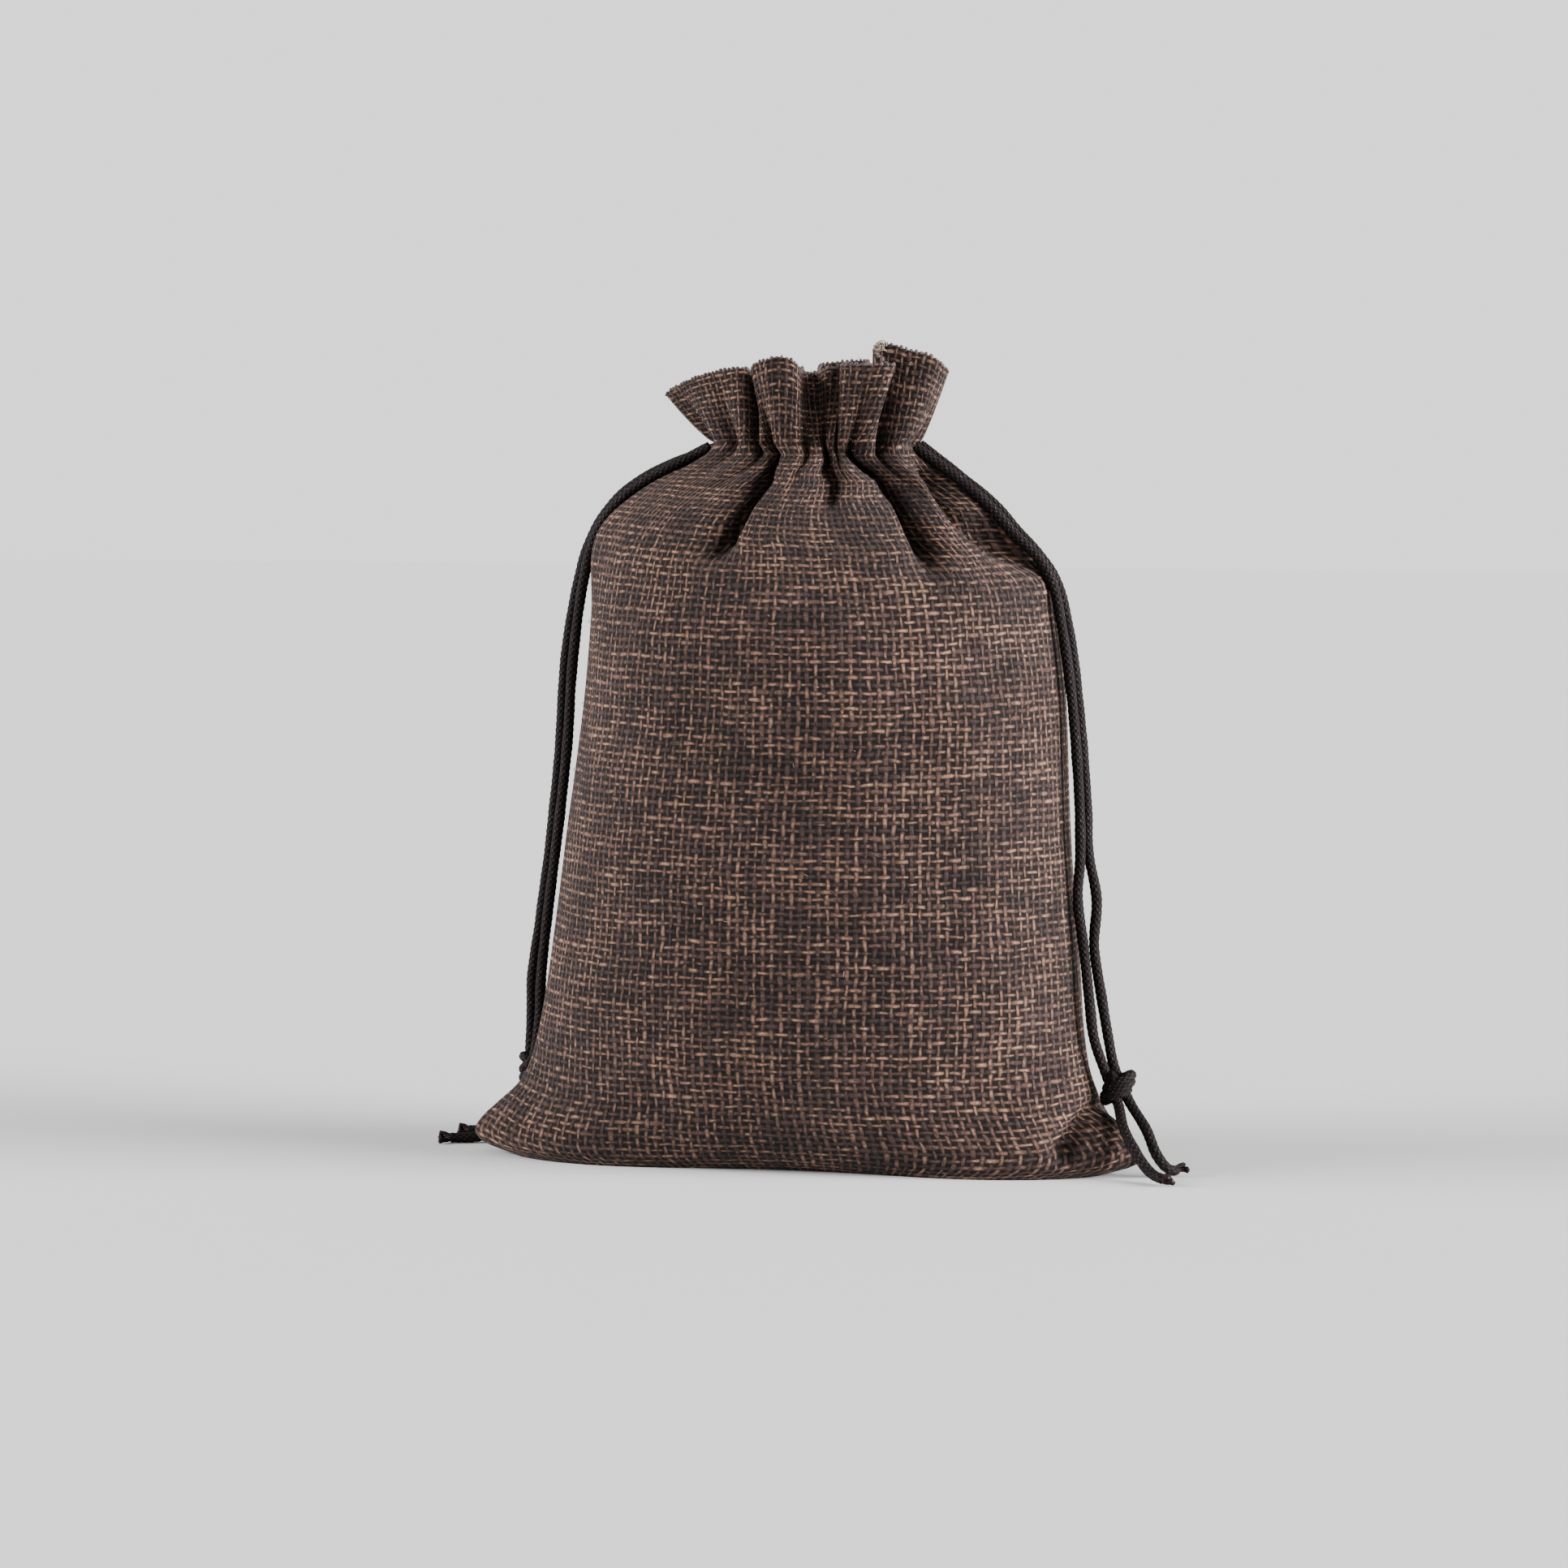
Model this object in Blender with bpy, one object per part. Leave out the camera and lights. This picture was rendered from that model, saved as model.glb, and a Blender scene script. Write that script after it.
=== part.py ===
"""A small burlap drawstring sack, stuffed and standing, with its neck drawn shut.

The cloth is one filled solid: a pillow-like body with a pointed corner at each side of its base, a gathered
neck, and an open ruffle of thin cloth above it. Two drawstrings leave the neck, one at each side. Each hangs
as two strands into a knot, and ends in two loose tails on the ground.

+X is the sack's right as seen from its front, -Y is its front, +Z is up, and the ground is z = 0.
The tables are in millimetres. Everything that is built is in metres.
"""

import math

import bmesh
import bpy
from mathutils import Vector

MM = 0.001

# Cloth
# The rings are counted in columns, which go round from the left seam by the front. Over the body each ring is
# at its own height.
FRONT_COLUMNS = 66
BACK_COLUMNS = 62
BODY_RINGS = (
    0, 0.8, 2.2, 4.2, 6.6, 9.5, 13.5, 19, 27, 38, 51, 64, 76, 87, 96.5,
    104, 109.5, 113.5, 117, 120, 122.7, 125.2, 127.6, 130, 132.4, 134.8,
)
RUFFLE_STEPS = 6
THROAT_STEPS = 5
FLARE = 0.8
HEM_THICKNESS = 1.1
HEM_PROFILE = ((0.0, 0.35), (0.3, 0.0), (0.7, 0.0), (1.0, 0.35))

# The body's level sections: both side seams, and how far the front and the back belly out.
# point is 1 for a round side and more for a side that narrows to a seam, as in the corners. arch is how much
# of the belly is missing at its middle, where the bottom edge of the cloth lifts between the corners.
SECTION_COLUMNS = ("height", "left", "right", "seam_y", "front", "back", "point", "arch")
SECTIONS = (
    (0.0, -57.1, 57.9, -10.4, -29.0, 24.0, 1.05, 0.48),
    (2.2, -64.1, 64.5, -10.8, -29.8, 26.0, 1.4, 0.3),
    (4.2, -65.5, 65.5, -10.8, -30.2, 27.0, 1.6, 0.2),
    (6.6, -64.3, 63.7, -9.8, -30.6, 28.0, 1.52, 0.12),
    (9.5, -61.5, 60.5, -8.0, -30.9, 29.0, 1.36, 0.06),
    (13.5, -57.7, 56.5, -5.4, -31.2, 29.8, 1.2, 0.02),
    (19.0, -55.5, 53.7, -3.0, -31.7, 30.6, 1.08, 0.0),
    (27.0, -53.9, 52.1, -1.0, -32.5, 31.7, 1.0, 0.0),
    (38.0, -52.3, 51.2, 0.0, -33.4, 32.9, 1.0, 0.0),
    (64.0, -48.7, 49.2, 0.0, -34.5, 34.4, 1.0, 0.0),
    (87.0, -45.5, 48.3, 0.0, -34.7, 34.7, 1.0, 0.0),
    (104.0, -43.9, 46.3, 0.0, -33.8, 33.4, 1.0, 0.0),
    (111.0, -43.4, 44.8, 0.0, -31.6, 31.2, 1.0, 0.0),
    (116.4, -42.6, 40.9, 0.0, -29.0, 28.8, 1.0, 0.0),
    (120.0, -41.4, 37.5, 0.0, -26.6, 26.4, 1.0, 0.0),
    (123.6, -38.6, 34.1, 0.0, -23.6, 23.4, 1.0, 0.0),
    (127.6, -33.5, 29.7, 0.0, -19.2, 19.2, 1.0, 0.0),
    (131.6, -27.1, 24.5, 0.0, -14.8, 14.8, 1.0, 0.0),
    (134.8, -20.9, 20.5, 0.0, -10.9, 10.9, 1.0, 0.0),
)
ARCH_SHARPNESS = 6.0

# The gathered neck: an ellipse with small even pleats, between the body and the ruffle.
NECK_HEIGHT = 137.0
NECK_CENTRE = -0.1
NECK_HALF_WIDTH = 20.4
NECK_HALF_DEPTH = 10.4
NECK_PLEATS = 18
NECK_PLEAT_DEPTH = 0.45
NECK_FOLD_SHARE = 0.30
PLEATS_FADE_BELOW = 16.0
SIDEWAYS_DRAW = 0.5

# Inside the ruffle the folds go down to the throat, and close there on the middle of the drawn neck.
THROAT_HEIGHT = 143.0
THROAT_FLOOR = 141.2
THROAT_HALF_WIDTH = 12.0
THROAT_HALF_DEPTH = 3.0

# The ruffle's rim. Each fold is a crest that follows an ellipse from one angle to another, counted in degrees
# from the left tip round by the front, with the rim's height at both its ends. reach is how far out it comes,
# as a share of the ellipse. Then the cloth turns in to a valley, at x and y, with its own width.
RIM_CENTRE = -2.6
RIM_HALF_WIDTH = 27.3
RIM_HALF_DEPTH = 14.2
FOLD_COLUMNS = (
    "name", "first", "last", "reach", "first_top", "last_top", "valley_x", "valley_y", "valley_width",
)
FOLDS = (
    ("left panel", 0, 60, 1.02, 144.4, 151.4, -11.9, -4.4, 2.8),
    ("front tuck", 76, 95, 1.05, 152.4, 152.8, 4.2, -4.1, 4.8),
    ("front panel", 113, 135, 1.03, 152.8, 153.0, 17.0, -3.8, 2.4),
    ("right panel", 150, 184, 1.03, 153.4, 149.8, 16.4, 3.6, 2.0),
    ("rear flap", 216, 234, 1.05, 153.8, 156.2, 11.8, 3.6, 2.4),
    ("rear right", 244, 262, 1.03, 153.2, 151.6, -1.3, 3.9, 2.8),
    ("rear middle", 276, 296, 1.03, 151.2, 149.8, -13.7, 3.6, 2.8),
    ("rear left", 308, 326, 1.05, 149.0, 147.0, -20.6, 3.4, 2.0),
)
VALLEY_DROP = 2.0
RIM_SAMPLES = 780
RIM_ROUNDING_SAMPLES = 6
RIM_ROUNDING_PASSES = 2
CORNER_SHRINK = 0.7
CURVE_STEPS = 24
HALF_SECTION_STEPS = 180

# Creases that run down from the neck, and the dart beside the right corner. Each is a trough between two
# places seen from the front, bent at the middle, with its half width at both ends and its greatest depth.
# It spreads past its half width, starts at part of its depth and fades out at its far end.
CREASE_COLUMNS = ("side", "x1", "z1", "x2", "z2", "x3", "z3", "width1", "width3", "depth")
FRONT, BACK = -1, 1
CREASES = (
    (FRONT, -6.6, 135.5, -13.6, 126.0, -19.1, 115.5, 2.4, 4.6, 3.0),
    (FRONT, 3.9, 136.5, 4.9, 130.5, 5.5, 125.0, 2.2, 3.2, 2.2),
    (FRONT, 9.4, 135.5, 17.4, 126.0, 24.9, 111.5, 2.4, 4.6, 3.8),
    (FRONT, 21.4, 134.0, 29.9, 125.5, 42.4, 114.0, 2.2, 4.0, 2.4),
    (BACK, 11.9, 135.5, 18.9, 124.5, 23.9, 112.0, 2.6, 4.8, 3.2),
    (BACK, -0.6, 136.0, -3.1, 127.0, -3.6, 119.0, 2.4, 4.2, 2.6),
    (BACK, -11.6, 135.5, -19.1, 125.5, -26.1, 113.5, 2.6, 4.8, 3.2),
    (FRONT, 58.4, 12.5, 54.4, 7.5, 49.4, 1.5, 2.8, 3.6, 2.6),
)
CREASE_SPREAD = 1.6
CREASE_START = 0.45
CREASE_DEEPENS = 2.0
CREASE_FADES = 2.2

# Drawstrings
CORD_DIAMETER = 2.0
CORD_BEVEL_RESOLUTION = 2
KNOT_RIDGES = 3
KNOT_RIDGE_HEIGHT = 0.09
KNOT_SEGMENTS = 20
KNOT_RINGS = 12
STRAND_POINTS = 14
TAIL_POINTS = 6

STRAND_ROUTES = {
    "cord_left_front": (
        (-24.3, -1.4, 134.4), (-30.7, -1.5, 131.2), (-37.0, -1.4, 127.2), (-41.5, -1.2, 122.6),
        (-44.3, -0.9, 117.4), (-46.0, -0.6, 111.0), (-47.4, -0.4, 103.0), (-48.7, -0.2, 92.0),
        (-49.6, 0.2, 80.0), (-51.0, 0.6, 68.0), (-52.7, 1.2, 56.0), (-54.5, 2.0, 44.0),
        (-56.0, 3.0, 33.0), (-56.7, 4.0, 25.0), (-57.8, 4.95, 18.4),
    ),
    "cord_left_rear": (
        (-23.7, 1.3, 134.7), (-31.0, 1.5, 132.0), (-37.7, 1.6, 128.0), (-42.6, 1.7, 123.0),
        (-45.7, 1.8, 117.4), (-47.7, 1.9, 111.0), (-49.4, 1.9, 103.0), (-50.9, 1.9, 92.0),
        (-51.7, 2.2, 80.0), (-53.0, 2.7, 68.0), (-54.6, 3.3, 56.0), (-56.6, 4.3, 44.0),
        (-58.6, 5.5, 33.0), (-59.1, 6.4, 25.0), (-59.5, 7.0, 18.8),
    ),
    "cord_right_front": (
        (22.8, -1.4, 134.0), (28.5, -1.7, 130.0), (34.1, -1.9, 125.2), (38.9, -2.1, 120.0),
        (43.6, -2.3, 115.4), (46.5, -2.6, 110.4), (48.1, -2.8, 103.4), (49.8, -3.1, 93.0),
        (51.1, -3.3, 81.0), (51.9, -3.4, 69.0), (52.1, -3.5, 59.0), (51.7, -3.6, 51.0),
        (52.9, -3.8, 42.0), (54.1, -4.1, 32.0), (55.1, -4.6, 25.0), (57.3, -5.2, 18.95),
    ),
    "cord_right_rear": (
        (23.1, 1.2, 134.3), (28.3, 1.0, 130.4), (34.1, 0.8, 125.8), (38.9, 0.6, 120.6),
        (43.4, 0.4, 115.8), (46.8, 0.2, 110.5), (48.8, 0.0, 103.4), (50.5, -0.3, 93.0),
        (51.8, -0.5, 81.0), (52.8, -0.7, 69.0), (53.2, -1.0, 60.0), (54.9, -1.4, 51.0),
        (54.5, -1.5, 42.0), (56.1, -1.9, 32.0), (57.4, -2.3, 25.0), (58.7, -3.1, 19.35),
    ),
}
KNOTS = {
    "knot_left": ((-58.7, 6.2, 14.7), (2.9, 2.9, 3.7), -4.0),
    "knot_right": ((59.8, -4.9, 15.8), (3.0, 2.9, 3.7), 12.0),
}
TAIL_ROUTES = {
    "tail_left_front": (
        (-59.4, 4.6, 11.1), (-61.3, 3.4, 6.4), (-64.3, 1.4, 2.6), (-68.3, -0.4, 1.2),
        (-75.2, -2.6, 1.05),
    ),
    "tail_left_rear": (
        (-60.0, 7.8, 11.3), (-62.3, 9.2, 5.8), (-65.3, 9.8, 2.2), (-68.9, 9.6, 1.1),
        (-72.9, 9.0, 1.05),
    ),
    "tail_right_front": (
        (60.3, -7.05, 12.75), (62.3, -12.4, 9.2), (65.5, -17.0, 5.2), (69.1, -19.4, 1.7),
        (74.5, -24.6, 1.05),
    ),
    "tail_right_rear": (
        (62.3, -5.8, 13.0), (66.1, -9.6, 8.6), (68.5, -12.2, 4.4), (70.9, -12.0, 1.6),
        (73.2, -8.4, 1.05),
    ),
}

# Finishes: colour, roughness, metallic
CLOTH_FINISH = ("brown burlap", (0.115, 0.075, 0.060, 1.0), 0.92, 0.0)
CORD_FINISH = ("dark braid", (0.022, 0.014, 0.015, 1.0), 0.80, 0.0)


def clear_scene():
    """Remove whatever the file opened with."""
    for scene_object in list(bpy.data.objects):
        bpy.data.objects.remove(scene_object, do_unlink=True)


def finish_material(finish):
    """Return the Principled material of a named finish, made on first use."""
    name, colour, roughness, metallic = finish
    material = bpy.data.materials.get(name)
    if material is None:
        material = bpy.data.materials.new(name)
        material.use_nodes = True
        shader = material.node_tree.nodes["Principled BSDF"]
        shader.inputs["Base Color"].default_value = colour
        shader.inputs["Roughness"].default_value = roughness
        shader.inputs["Metallic"].default_value = metallic
    return material


def ease(value):
    """Smooth step from 0 at 0 to 1 at 1, flat at both ends."""
    value = min(1.0, max(0.0, value))
    return value * value * (3.0 - 2.0 * value)


def curve_point(before, start, end, after, share):
    """Point on the Catmull-Rom curve from start to end."""
    square, cube = share * share, share**3
    return 0.5 * (
        2.0 * start
        + (end - before) * share
        + (2.0 * before - 5.0 * start + 4.0 * end - after) * square
        + (3.0 * start - before - 3.0 * end + after) * cube
    )


def read_along(points, shares):
    """Points at given shares of a polyline's length."""
    reached = [0.0]
    for start, end in zip(points, points[1:]):
        reached.append(reached[-1] + (end - start).length)
    found, segment = [], 0
    for share in shares:
        target = reached[-1] * share
        while segment < len(points) - 2 and reached[segment + 1] < target:
            segment += 1
        part = (target - reached[segment]) / (reached[segment + 1] - reached[segment])
        found.append(points[segment].lerp(points[segment + 1], min(1.0, part)))
    return found


def smooth_route(points, count):
    """Evenly spaced points on a smooth open curve through the route's own points."""
    route = [Vector(point) for point in points]
    padded = [2.0 * route[0] - route[1], *route, 2.0 * route[-1] - route[-2]]
    dense = []
    for index in range(1, len(padded) - 2):
        for step in range(CURVE_STEPS):
            dense.append(curve_point(*padded[index - 1 : index + 3], step / CURVE_STEPS))
    dense.append(route[-1])
    return read_along(dense, [index / (count - 1) for index in range(count)])


def section_at(height):
    """The section table at a height, read from smooth curves through its rows that never overshoot them."""
    rows = SECTIONS
    index = max(row for row in range(len(rows) - 1) if rows[row][0] <= height)
    low, high = rows[index], rows[index + 1]
    step = high[0] - low[0]
    share = (height - low[0]) / step
    values = {}
    for column, name in enumerate(SECTION_COLUMNS):
        rise = (high[column] - low[column]) / step
        slopes = []
        for at in (index, index + 1):
            if at == 0 or at == len(rows) - 1:
                slopes.append(rise)
                continue
            before = (rows[at][column] - rows[at - 1][column]) / (rows[at][0] - rows[at - 1][0])
            after = (rows[at + 1][column] - rows[at][column]) / (rows[at + 1][0] - rows[at][0])
            slopes.append(0.0 if before * after <= 0.0 else 2.0 * before * after / (before + after))
        square, cube = share * share, share**3
        values[name] = (
            low[column] * (2.0 * cube - 3.0 * square + 1.0)
            + high[column] * (3.0 * square - 2.0 * cube)
            + slopes[0] * step * (cube - 2.0 * square + share)
            + slopes[1] * step * (cube - square)
        )
    return values


def section_ring(height, columns):
    """The body's level section at the columns' shares of the way round, from the left seam by the front."""
    section = section_at(height)
    centre = 0.5 * (section["left"] + section["right"])
    half_width = 0.5 * (section["right"] - section["left"])
    ring = []
    for half, (belly, turn) in enumerate(((section["front"], 1.0), (section["back"], -1.0))):
        dense = []
        for step in range(HALF_SECTION_STEPS + 1):
            angle = math.pi * step / HALF_SECTION_STEPS
            rise = max(0.0, math.sin(angle))
            bulge = rise ** section["point"] * (1.0 - section["arch"] * rise**ARCH_SHARPNESS)
            across = centre - turn * half_width * math.cos(angle)
            dense.append(Vector((across, section["seam_y"] + (belly - section["seam_y"]) * bulge, height)))
        ring += read_along(dense, [2.0 * share - half for share in columns if int(2.0 * share) == half])
    return ring


def rim_knots():
    """The points that the rim passes through: three on each crest and two in the valley after it."""
    crests = []
    for row in FOLDS:
        fold = dict(zip(FOLD_COLUMNS, row))
        crest = []
        for share in (0.0, 0.5, 1.0):
            angle = math.radians(fold["first"] + (fold["last"] - fold["first"]) * share)
            across = RIM_CENTRE - fold["reach"] * RIM_HALF_WIDTH * math.cos(angle)
            along = -fold["reach"] * RIM_HALF_DEPTH * math.sin(angle)
            top = fold["first_top"] + (fold["last_top"] - fold["first_top"]) * share
            crest.append(Vector((across, along, top)))
        valley = Vector((fold["valley_x"], fold["valley_y"], fold["last_top"] - VALLEY_DROP))
        crests.append((crest, valley, fold["valley_width"]))
    knots = []
    for index, (crest, valley, width) in enumerate(crests):
        onward = crests[(index + 1) % len(crests)][0][0] - crest[2]
        step = Vector((onward.x, onward.y, 0.0)).normalized() * 0.5 * width
        knots += [*crest, valley - step, valley + step]
    return knots


def rim_ring():
    """The ruffle's rim, from the left tip by the front, and each point's share of the way round in cloth."""
    knots = rim_knots()
    dense = []
    for index in range(len(knots)):
        around = [knots[(index + shift) % len(knots)] for shift in (-1, 0, 1, 2)]
        dense += [curve_point(*around, step / CURVE_STEPS) for step in range(CURVE_STEPS)]
    even = read_along([*dense, dense[0]], [index / RIM_SAMPLES for index in range(RIM_SAMPLES)])
    reach = range(-RIM_ROUNDING_SAMPLES, RIM_ROUNDING_SAMPLES + 1)
    for _ in range(RIM_ROUNDING_PASSES):
        even = [
            sum((even[(index + shift) % RIM_SAMPLES] for shift in reach), Vector()) / len(reach)
            for index in range(RIM_SAMPLES)
        ]
    right_tip = max(range(RIM_SAMPLES), key=lambda index: even[index].x)
    ring, shares = [], []
    front, back = even[: right_tip + 1], [*even[right_tip:], even[0]]
    for half, samples, count in ((0, front, FRONT_COLUMNS), (1, back, BACK_COLUMNS)):
        steps = [index / count for index in range(count)]
        ring += read_along(samples, steps)
        shares += [0.5 * (half + step) for step in steps]
    return ring, shares


def inwardness(rim):
    """For each rim point, 0 on the ellipse that the crests follow and 1 at its middle."""
    shares = []
    for point in rim:
        across = (point.x - RIM_CENTRE) / RIM_HALF_WIDTH
        along = point.y / RIM_HALF_DEPTH
        shares.append(max(0.0, 1.0 - math.hypot(across, along)))
    return shares


def neck_ring(rim, columns):
    """The gathered neck, whose pleats lie under the rim's folds."""
    ring = []
    for share, inward in zip(columns, inwardness(rim)):
        angle = 2.0 * math.pi * share
        pleat = NECK_PLEAT_DEPTH * math.cos(NECK_PLEATS * angle) - NECK_FOLD_SHARE * inward * NECK_HALF_DEPTH
        across = NECK_CENTRE - (NECK_HALF_WIDTH + pleat) * math.cos(angle)
        along = -(NECK_HALF_DEPTH + pleat) * math.sin(angle)
        ring.append(Vector((across, along, NECK_HEIGHT)))
    return ring


def outward(ring, index):
    """Level direction that points out of a ring at one of its points."""
    ahead = ring[(index + 1) % len(ring)] - ring[index - 1]
    return Vector((ahead.y, -ahead.x, 0.0)).normalized()


def crease_depth(point):
    """How far the creases sink the body's surface at a point."""
    depth = 0.0
    for row in CREASES:
        crease = dict(zip(CREASE_COLUMNS, row))
        if crease["side"] * point.y < 0.0:
            continue
        bends = [Vector((crease[f"x{i}"], crease[f"z{i}"])) for i in (1, 2, 3)]
        place = Vector((point.x, point.z))
        nearest, reached = math.inf, 0.0
        for half in (0, 1):
            start, run = bends[half], bends[half + 1] - bends[half]
            share = min(1.0, max(0.0, (place - start).dot(run) / run.length_squared))
            distance = (place - start - run * share).length
            if distance < nearest:
                nearest, reached = distance, 0.5 * (half + share)
        width = crease["width1"] + (crease["width3"] - crease["width1"]) * reached
        fade = ease(CREASE_FADES * (1.0 - reached)) * ease(CREASE_START + CREASE_DEEPENS * reached)
        depth = max(depth, crease["depth"] * fade * (1.0 - ease(nearest / (CREASE_SPREAD * width))))
    return depth


def body_ring(height, neck, columns):
    """A section of the body with its creases, drawn towards the neck's pleats near the top."""
    ring = section_ring(height, columns)
    gather = ease(1.0 - (SECTIONS[-1][0] - height) / PLEATS_FADE_BELOW)
    smooth = section_ring(SECTIONS[-1][0], columns)
    moved = []
    for index, point in enumerate(ring):
        pleat = (neck[index] - smooth[index]) * gather
        sunk = outward(ring, index) * crease_depth(point)
        moved.append(Vector((point.x + SIDEWAYS_DRAW * pleat.x - sunk.x, point.y + pleat.y - sunk.y, height)))
    return moved


def ruffle_ring(share, rim, neck, floor=NECK_HEIGHT):
    """A ring of the ruffle's cloth: 0 is at the floor, at the neck or above it, and 1 is at the rim."""
    ring = []
    for low, high in zip(neck, rim):
        level = floor + (high.z - floor) * share
        spread = ((level - NECK_HEIGHT) / (high.z - NECK_HEIGHT)) ** FLARE
        ring.append(Vector((low.x + (high.x - low.x) * spread, low.y + (high.y - low.y) * spread, level)))
    return ring


def drawn_in(ring, distance, drop=0.0):
    """A ring moved inwards by a distance, or by less where a corner leaves less room, and lowered."""
    count = len(ring)
    ways = [outward(ring, index) for index in range(count)]
    room = [distance] * count
    for index in range(count):
        after = (index + 1) % count
        edge = ring[after] - ring[index]
        closing = (ways[after] - ways[index]).dot(edge) / edge.length_squared
        if closing * distance > CORNER_SHRINK:
            room[index] = min(room[index], CORNER_SHRINK / closing)
            room[after] = min(room[after], CORNER_SHRINK / closing)
    room = [min(room[index - 1], room[index], room[(index + 1) % count]) for index in range(count)]
    return [point - way * reach - Vector((0.0, 0.0, drop)) for point, way, reach in zip(ring, ways, room)]


def throat_floor(columns):
    """The small ellipse that closes the sack inside its neck."""
    ring = []
    for share in columns:
        angle = 2.0 * math.pi * share
        across = NECK_CENTRE - THROAT_HALF_WIDTH * math.cos(angle)
        ring.append(Vector((across, -THROAT_HALF_DEPTH * math.sin(angle), THROAT_FLOOR)))
    return ring


def sack_rings():
    """The sack's rings: up the outside from the ground to the rim, and down inside to the throat."""
    rim, columns = rim_ring()
    neck = neck_ring(rim, columns)
    rings = [body_ring(height, neck, columns) for height in BODY_RINGS]
    rings += [ruffle_ring(step / RUFFLE_STEPS, rim, neck) for step in range(RUFFLE_STEPS)]
    for share, drop in HEM_PROFILE:
        rings.append(drawn_in(rim, share * HEM_THICKNESS, drop))
    for step in reversed(range(THROAT_STEPS)):
        cloth = ruffle_ring(step / THROAT_STEPS, rim, neck, THROAT_HEIGHT)
        rings.append(drawn_in(cloth, HEM_THICKNESS))
    rings.append(throat_floor(columns))
    return rings


def mesh_object(name, mesh_builder, finish):
    """Turn a filled bmesh into a named, smooth-shaded object with its finish."""
    mesh = bpy.data.meshes.new(name)
    mesh_builder.to_mesh(mesh)
    mesh_builder.free()
    mesh.shade_smooth()
    mesh.materials.append(finish_material(finish))
    made = bpy.data.objects.new(name, mesh)
    bpy.context.scene.collection.objects.link(made)
    return made


def add_sack():
    """Loft the sack through its rings and close its base and its throat."""
    rings = sack_rings()
    lofted = bmesh.new()
    verts = [[lofted.verts.new(point * MM) for point in ring] for ring in rings]
    for lower, upper in zip(verts, verts[1:]):
        for index in range(len(lower)):
            after = (index + 1) % len(lower)
            lofted.faces.new((lower[index], lower[after], upper[after], upper[index]))
    lofted.faces.new(list(reversed(verts[0])))
    lofted.faces.new(verts[-1])
    bmesh.ops.triangulate(lofted, faces=lofted.faces[:])
    return mesh_object("sack", lofted, CLOTH_FINISH)


def add_cord(name, route, count):
    """A plain tube along a smooth curve through the route's points."""
    curve = bpy.data.curves.new(name, "CURVE")
    curve.dimensions = "3D"
    curve.bevel_depth = 0.5 * CORD_DIAMETER * MM
    curve.bevel_resolution = CORD_BEVEL_RESOLUTION
    curve.use_fill_caps = True
    curve.render_resolution_u = 0
    spline = curve.splines.new("POLY")
    points = smooth_route(route, count)
    spline.points.add(len(points) - 1)
    for spline_point, place in zip(spline.points, points):
        spline_point.co = (*(place * MM), 1.0)
    curve.materials.append(finish_material(CORD_FINISH))
    made = bpy.data.objects.new(name, curve)
    bpy.context.scene.collection.objects.link(made)
    return made


def add_knot(name, centre, radii, lean):
    """The lump of a tight overhand knot, with its turns raised as slanting ridges."""
    lump = bmesh.new()
    bmesh.ops.create_uvsphere(lump, u_segments=KNOT_SEGMENTS, v_segments=KNOT_RINGS, radius=1.0)
    tilt = math.radians(lean)
    for vert in lump.verts:
        x, y, z = vert.co
        around = math.atan2(y, x)
        ridge = math.cos(KNOT_RIDGES * math.pi * z + 2.0 * around)
        swell = 1.0 + KNOT_RIDGE_HEIGHT * ridge * (1.0 - z * z)
        x, y, z = radii[0] * swell * x, radii[1] * swell * y, radii[2] * z
        turned = Vector((x * math.cos(tilt) + z * math.sin(tilt), y, z * math.cos(tilt) - x * math.sin(tilt)))
        vert.co = (turned + Vector(centre)) * MM
    bmesh.ops.triangulate(lump, faces=lump.faces[:])
    return mesh_object(name, lump, CORD_FINISH)


def main():
    """Build the sack, its drawstrings, their knots and their tails."""
    clear_scene()
    add_sack()
    for name, route in STRAND_ROUTES.items():
        add_cord(name, route, STRAND_POINTS)
    for name, (centre, radii, lean) in KNOTS.items():
        add_knot(name, centre, radii, lean)
    for name, route in TAIL_ROUTES.items():
        add_cord(name, route, TAIL_POINTS)


main()
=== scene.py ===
"""Dress the burlap sack: gathered cloth with its weave, braided drawstrings, knots, frayed ends and fuzz.

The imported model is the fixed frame. +X is the sack's right as seen from its front, -Y is its front, +Z is up,
and the ground is z = 0. Sizes and tables are in millimetres, and make_mesh turns them into metres. Only the
camera, the finishes' reliefs and what Geometry Nodes make are sized in metres.
"""

from __future__ import annotations

import logging
import math
import sys
from collections.abc import Callable, Sequence
from dataclasses import dataclass
from enum import Enum
from functools import cached_property

import bpy
import numpy as np
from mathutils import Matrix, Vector

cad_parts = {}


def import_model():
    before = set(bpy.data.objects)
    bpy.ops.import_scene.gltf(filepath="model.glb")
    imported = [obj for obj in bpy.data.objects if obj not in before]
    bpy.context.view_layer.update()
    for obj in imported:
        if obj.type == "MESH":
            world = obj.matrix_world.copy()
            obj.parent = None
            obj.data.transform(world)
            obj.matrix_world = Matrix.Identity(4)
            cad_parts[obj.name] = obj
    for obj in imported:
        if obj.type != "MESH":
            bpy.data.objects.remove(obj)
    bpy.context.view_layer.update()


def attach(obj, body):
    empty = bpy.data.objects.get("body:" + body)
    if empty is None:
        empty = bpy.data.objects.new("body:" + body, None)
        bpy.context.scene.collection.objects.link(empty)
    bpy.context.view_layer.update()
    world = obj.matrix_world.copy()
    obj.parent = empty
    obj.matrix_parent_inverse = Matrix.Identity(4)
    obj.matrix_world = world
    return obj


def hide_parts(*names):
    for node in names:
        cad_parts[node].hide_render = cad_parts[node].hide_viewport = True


LOG = logging.getLogger("sack")
MM = 0.001
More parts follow.
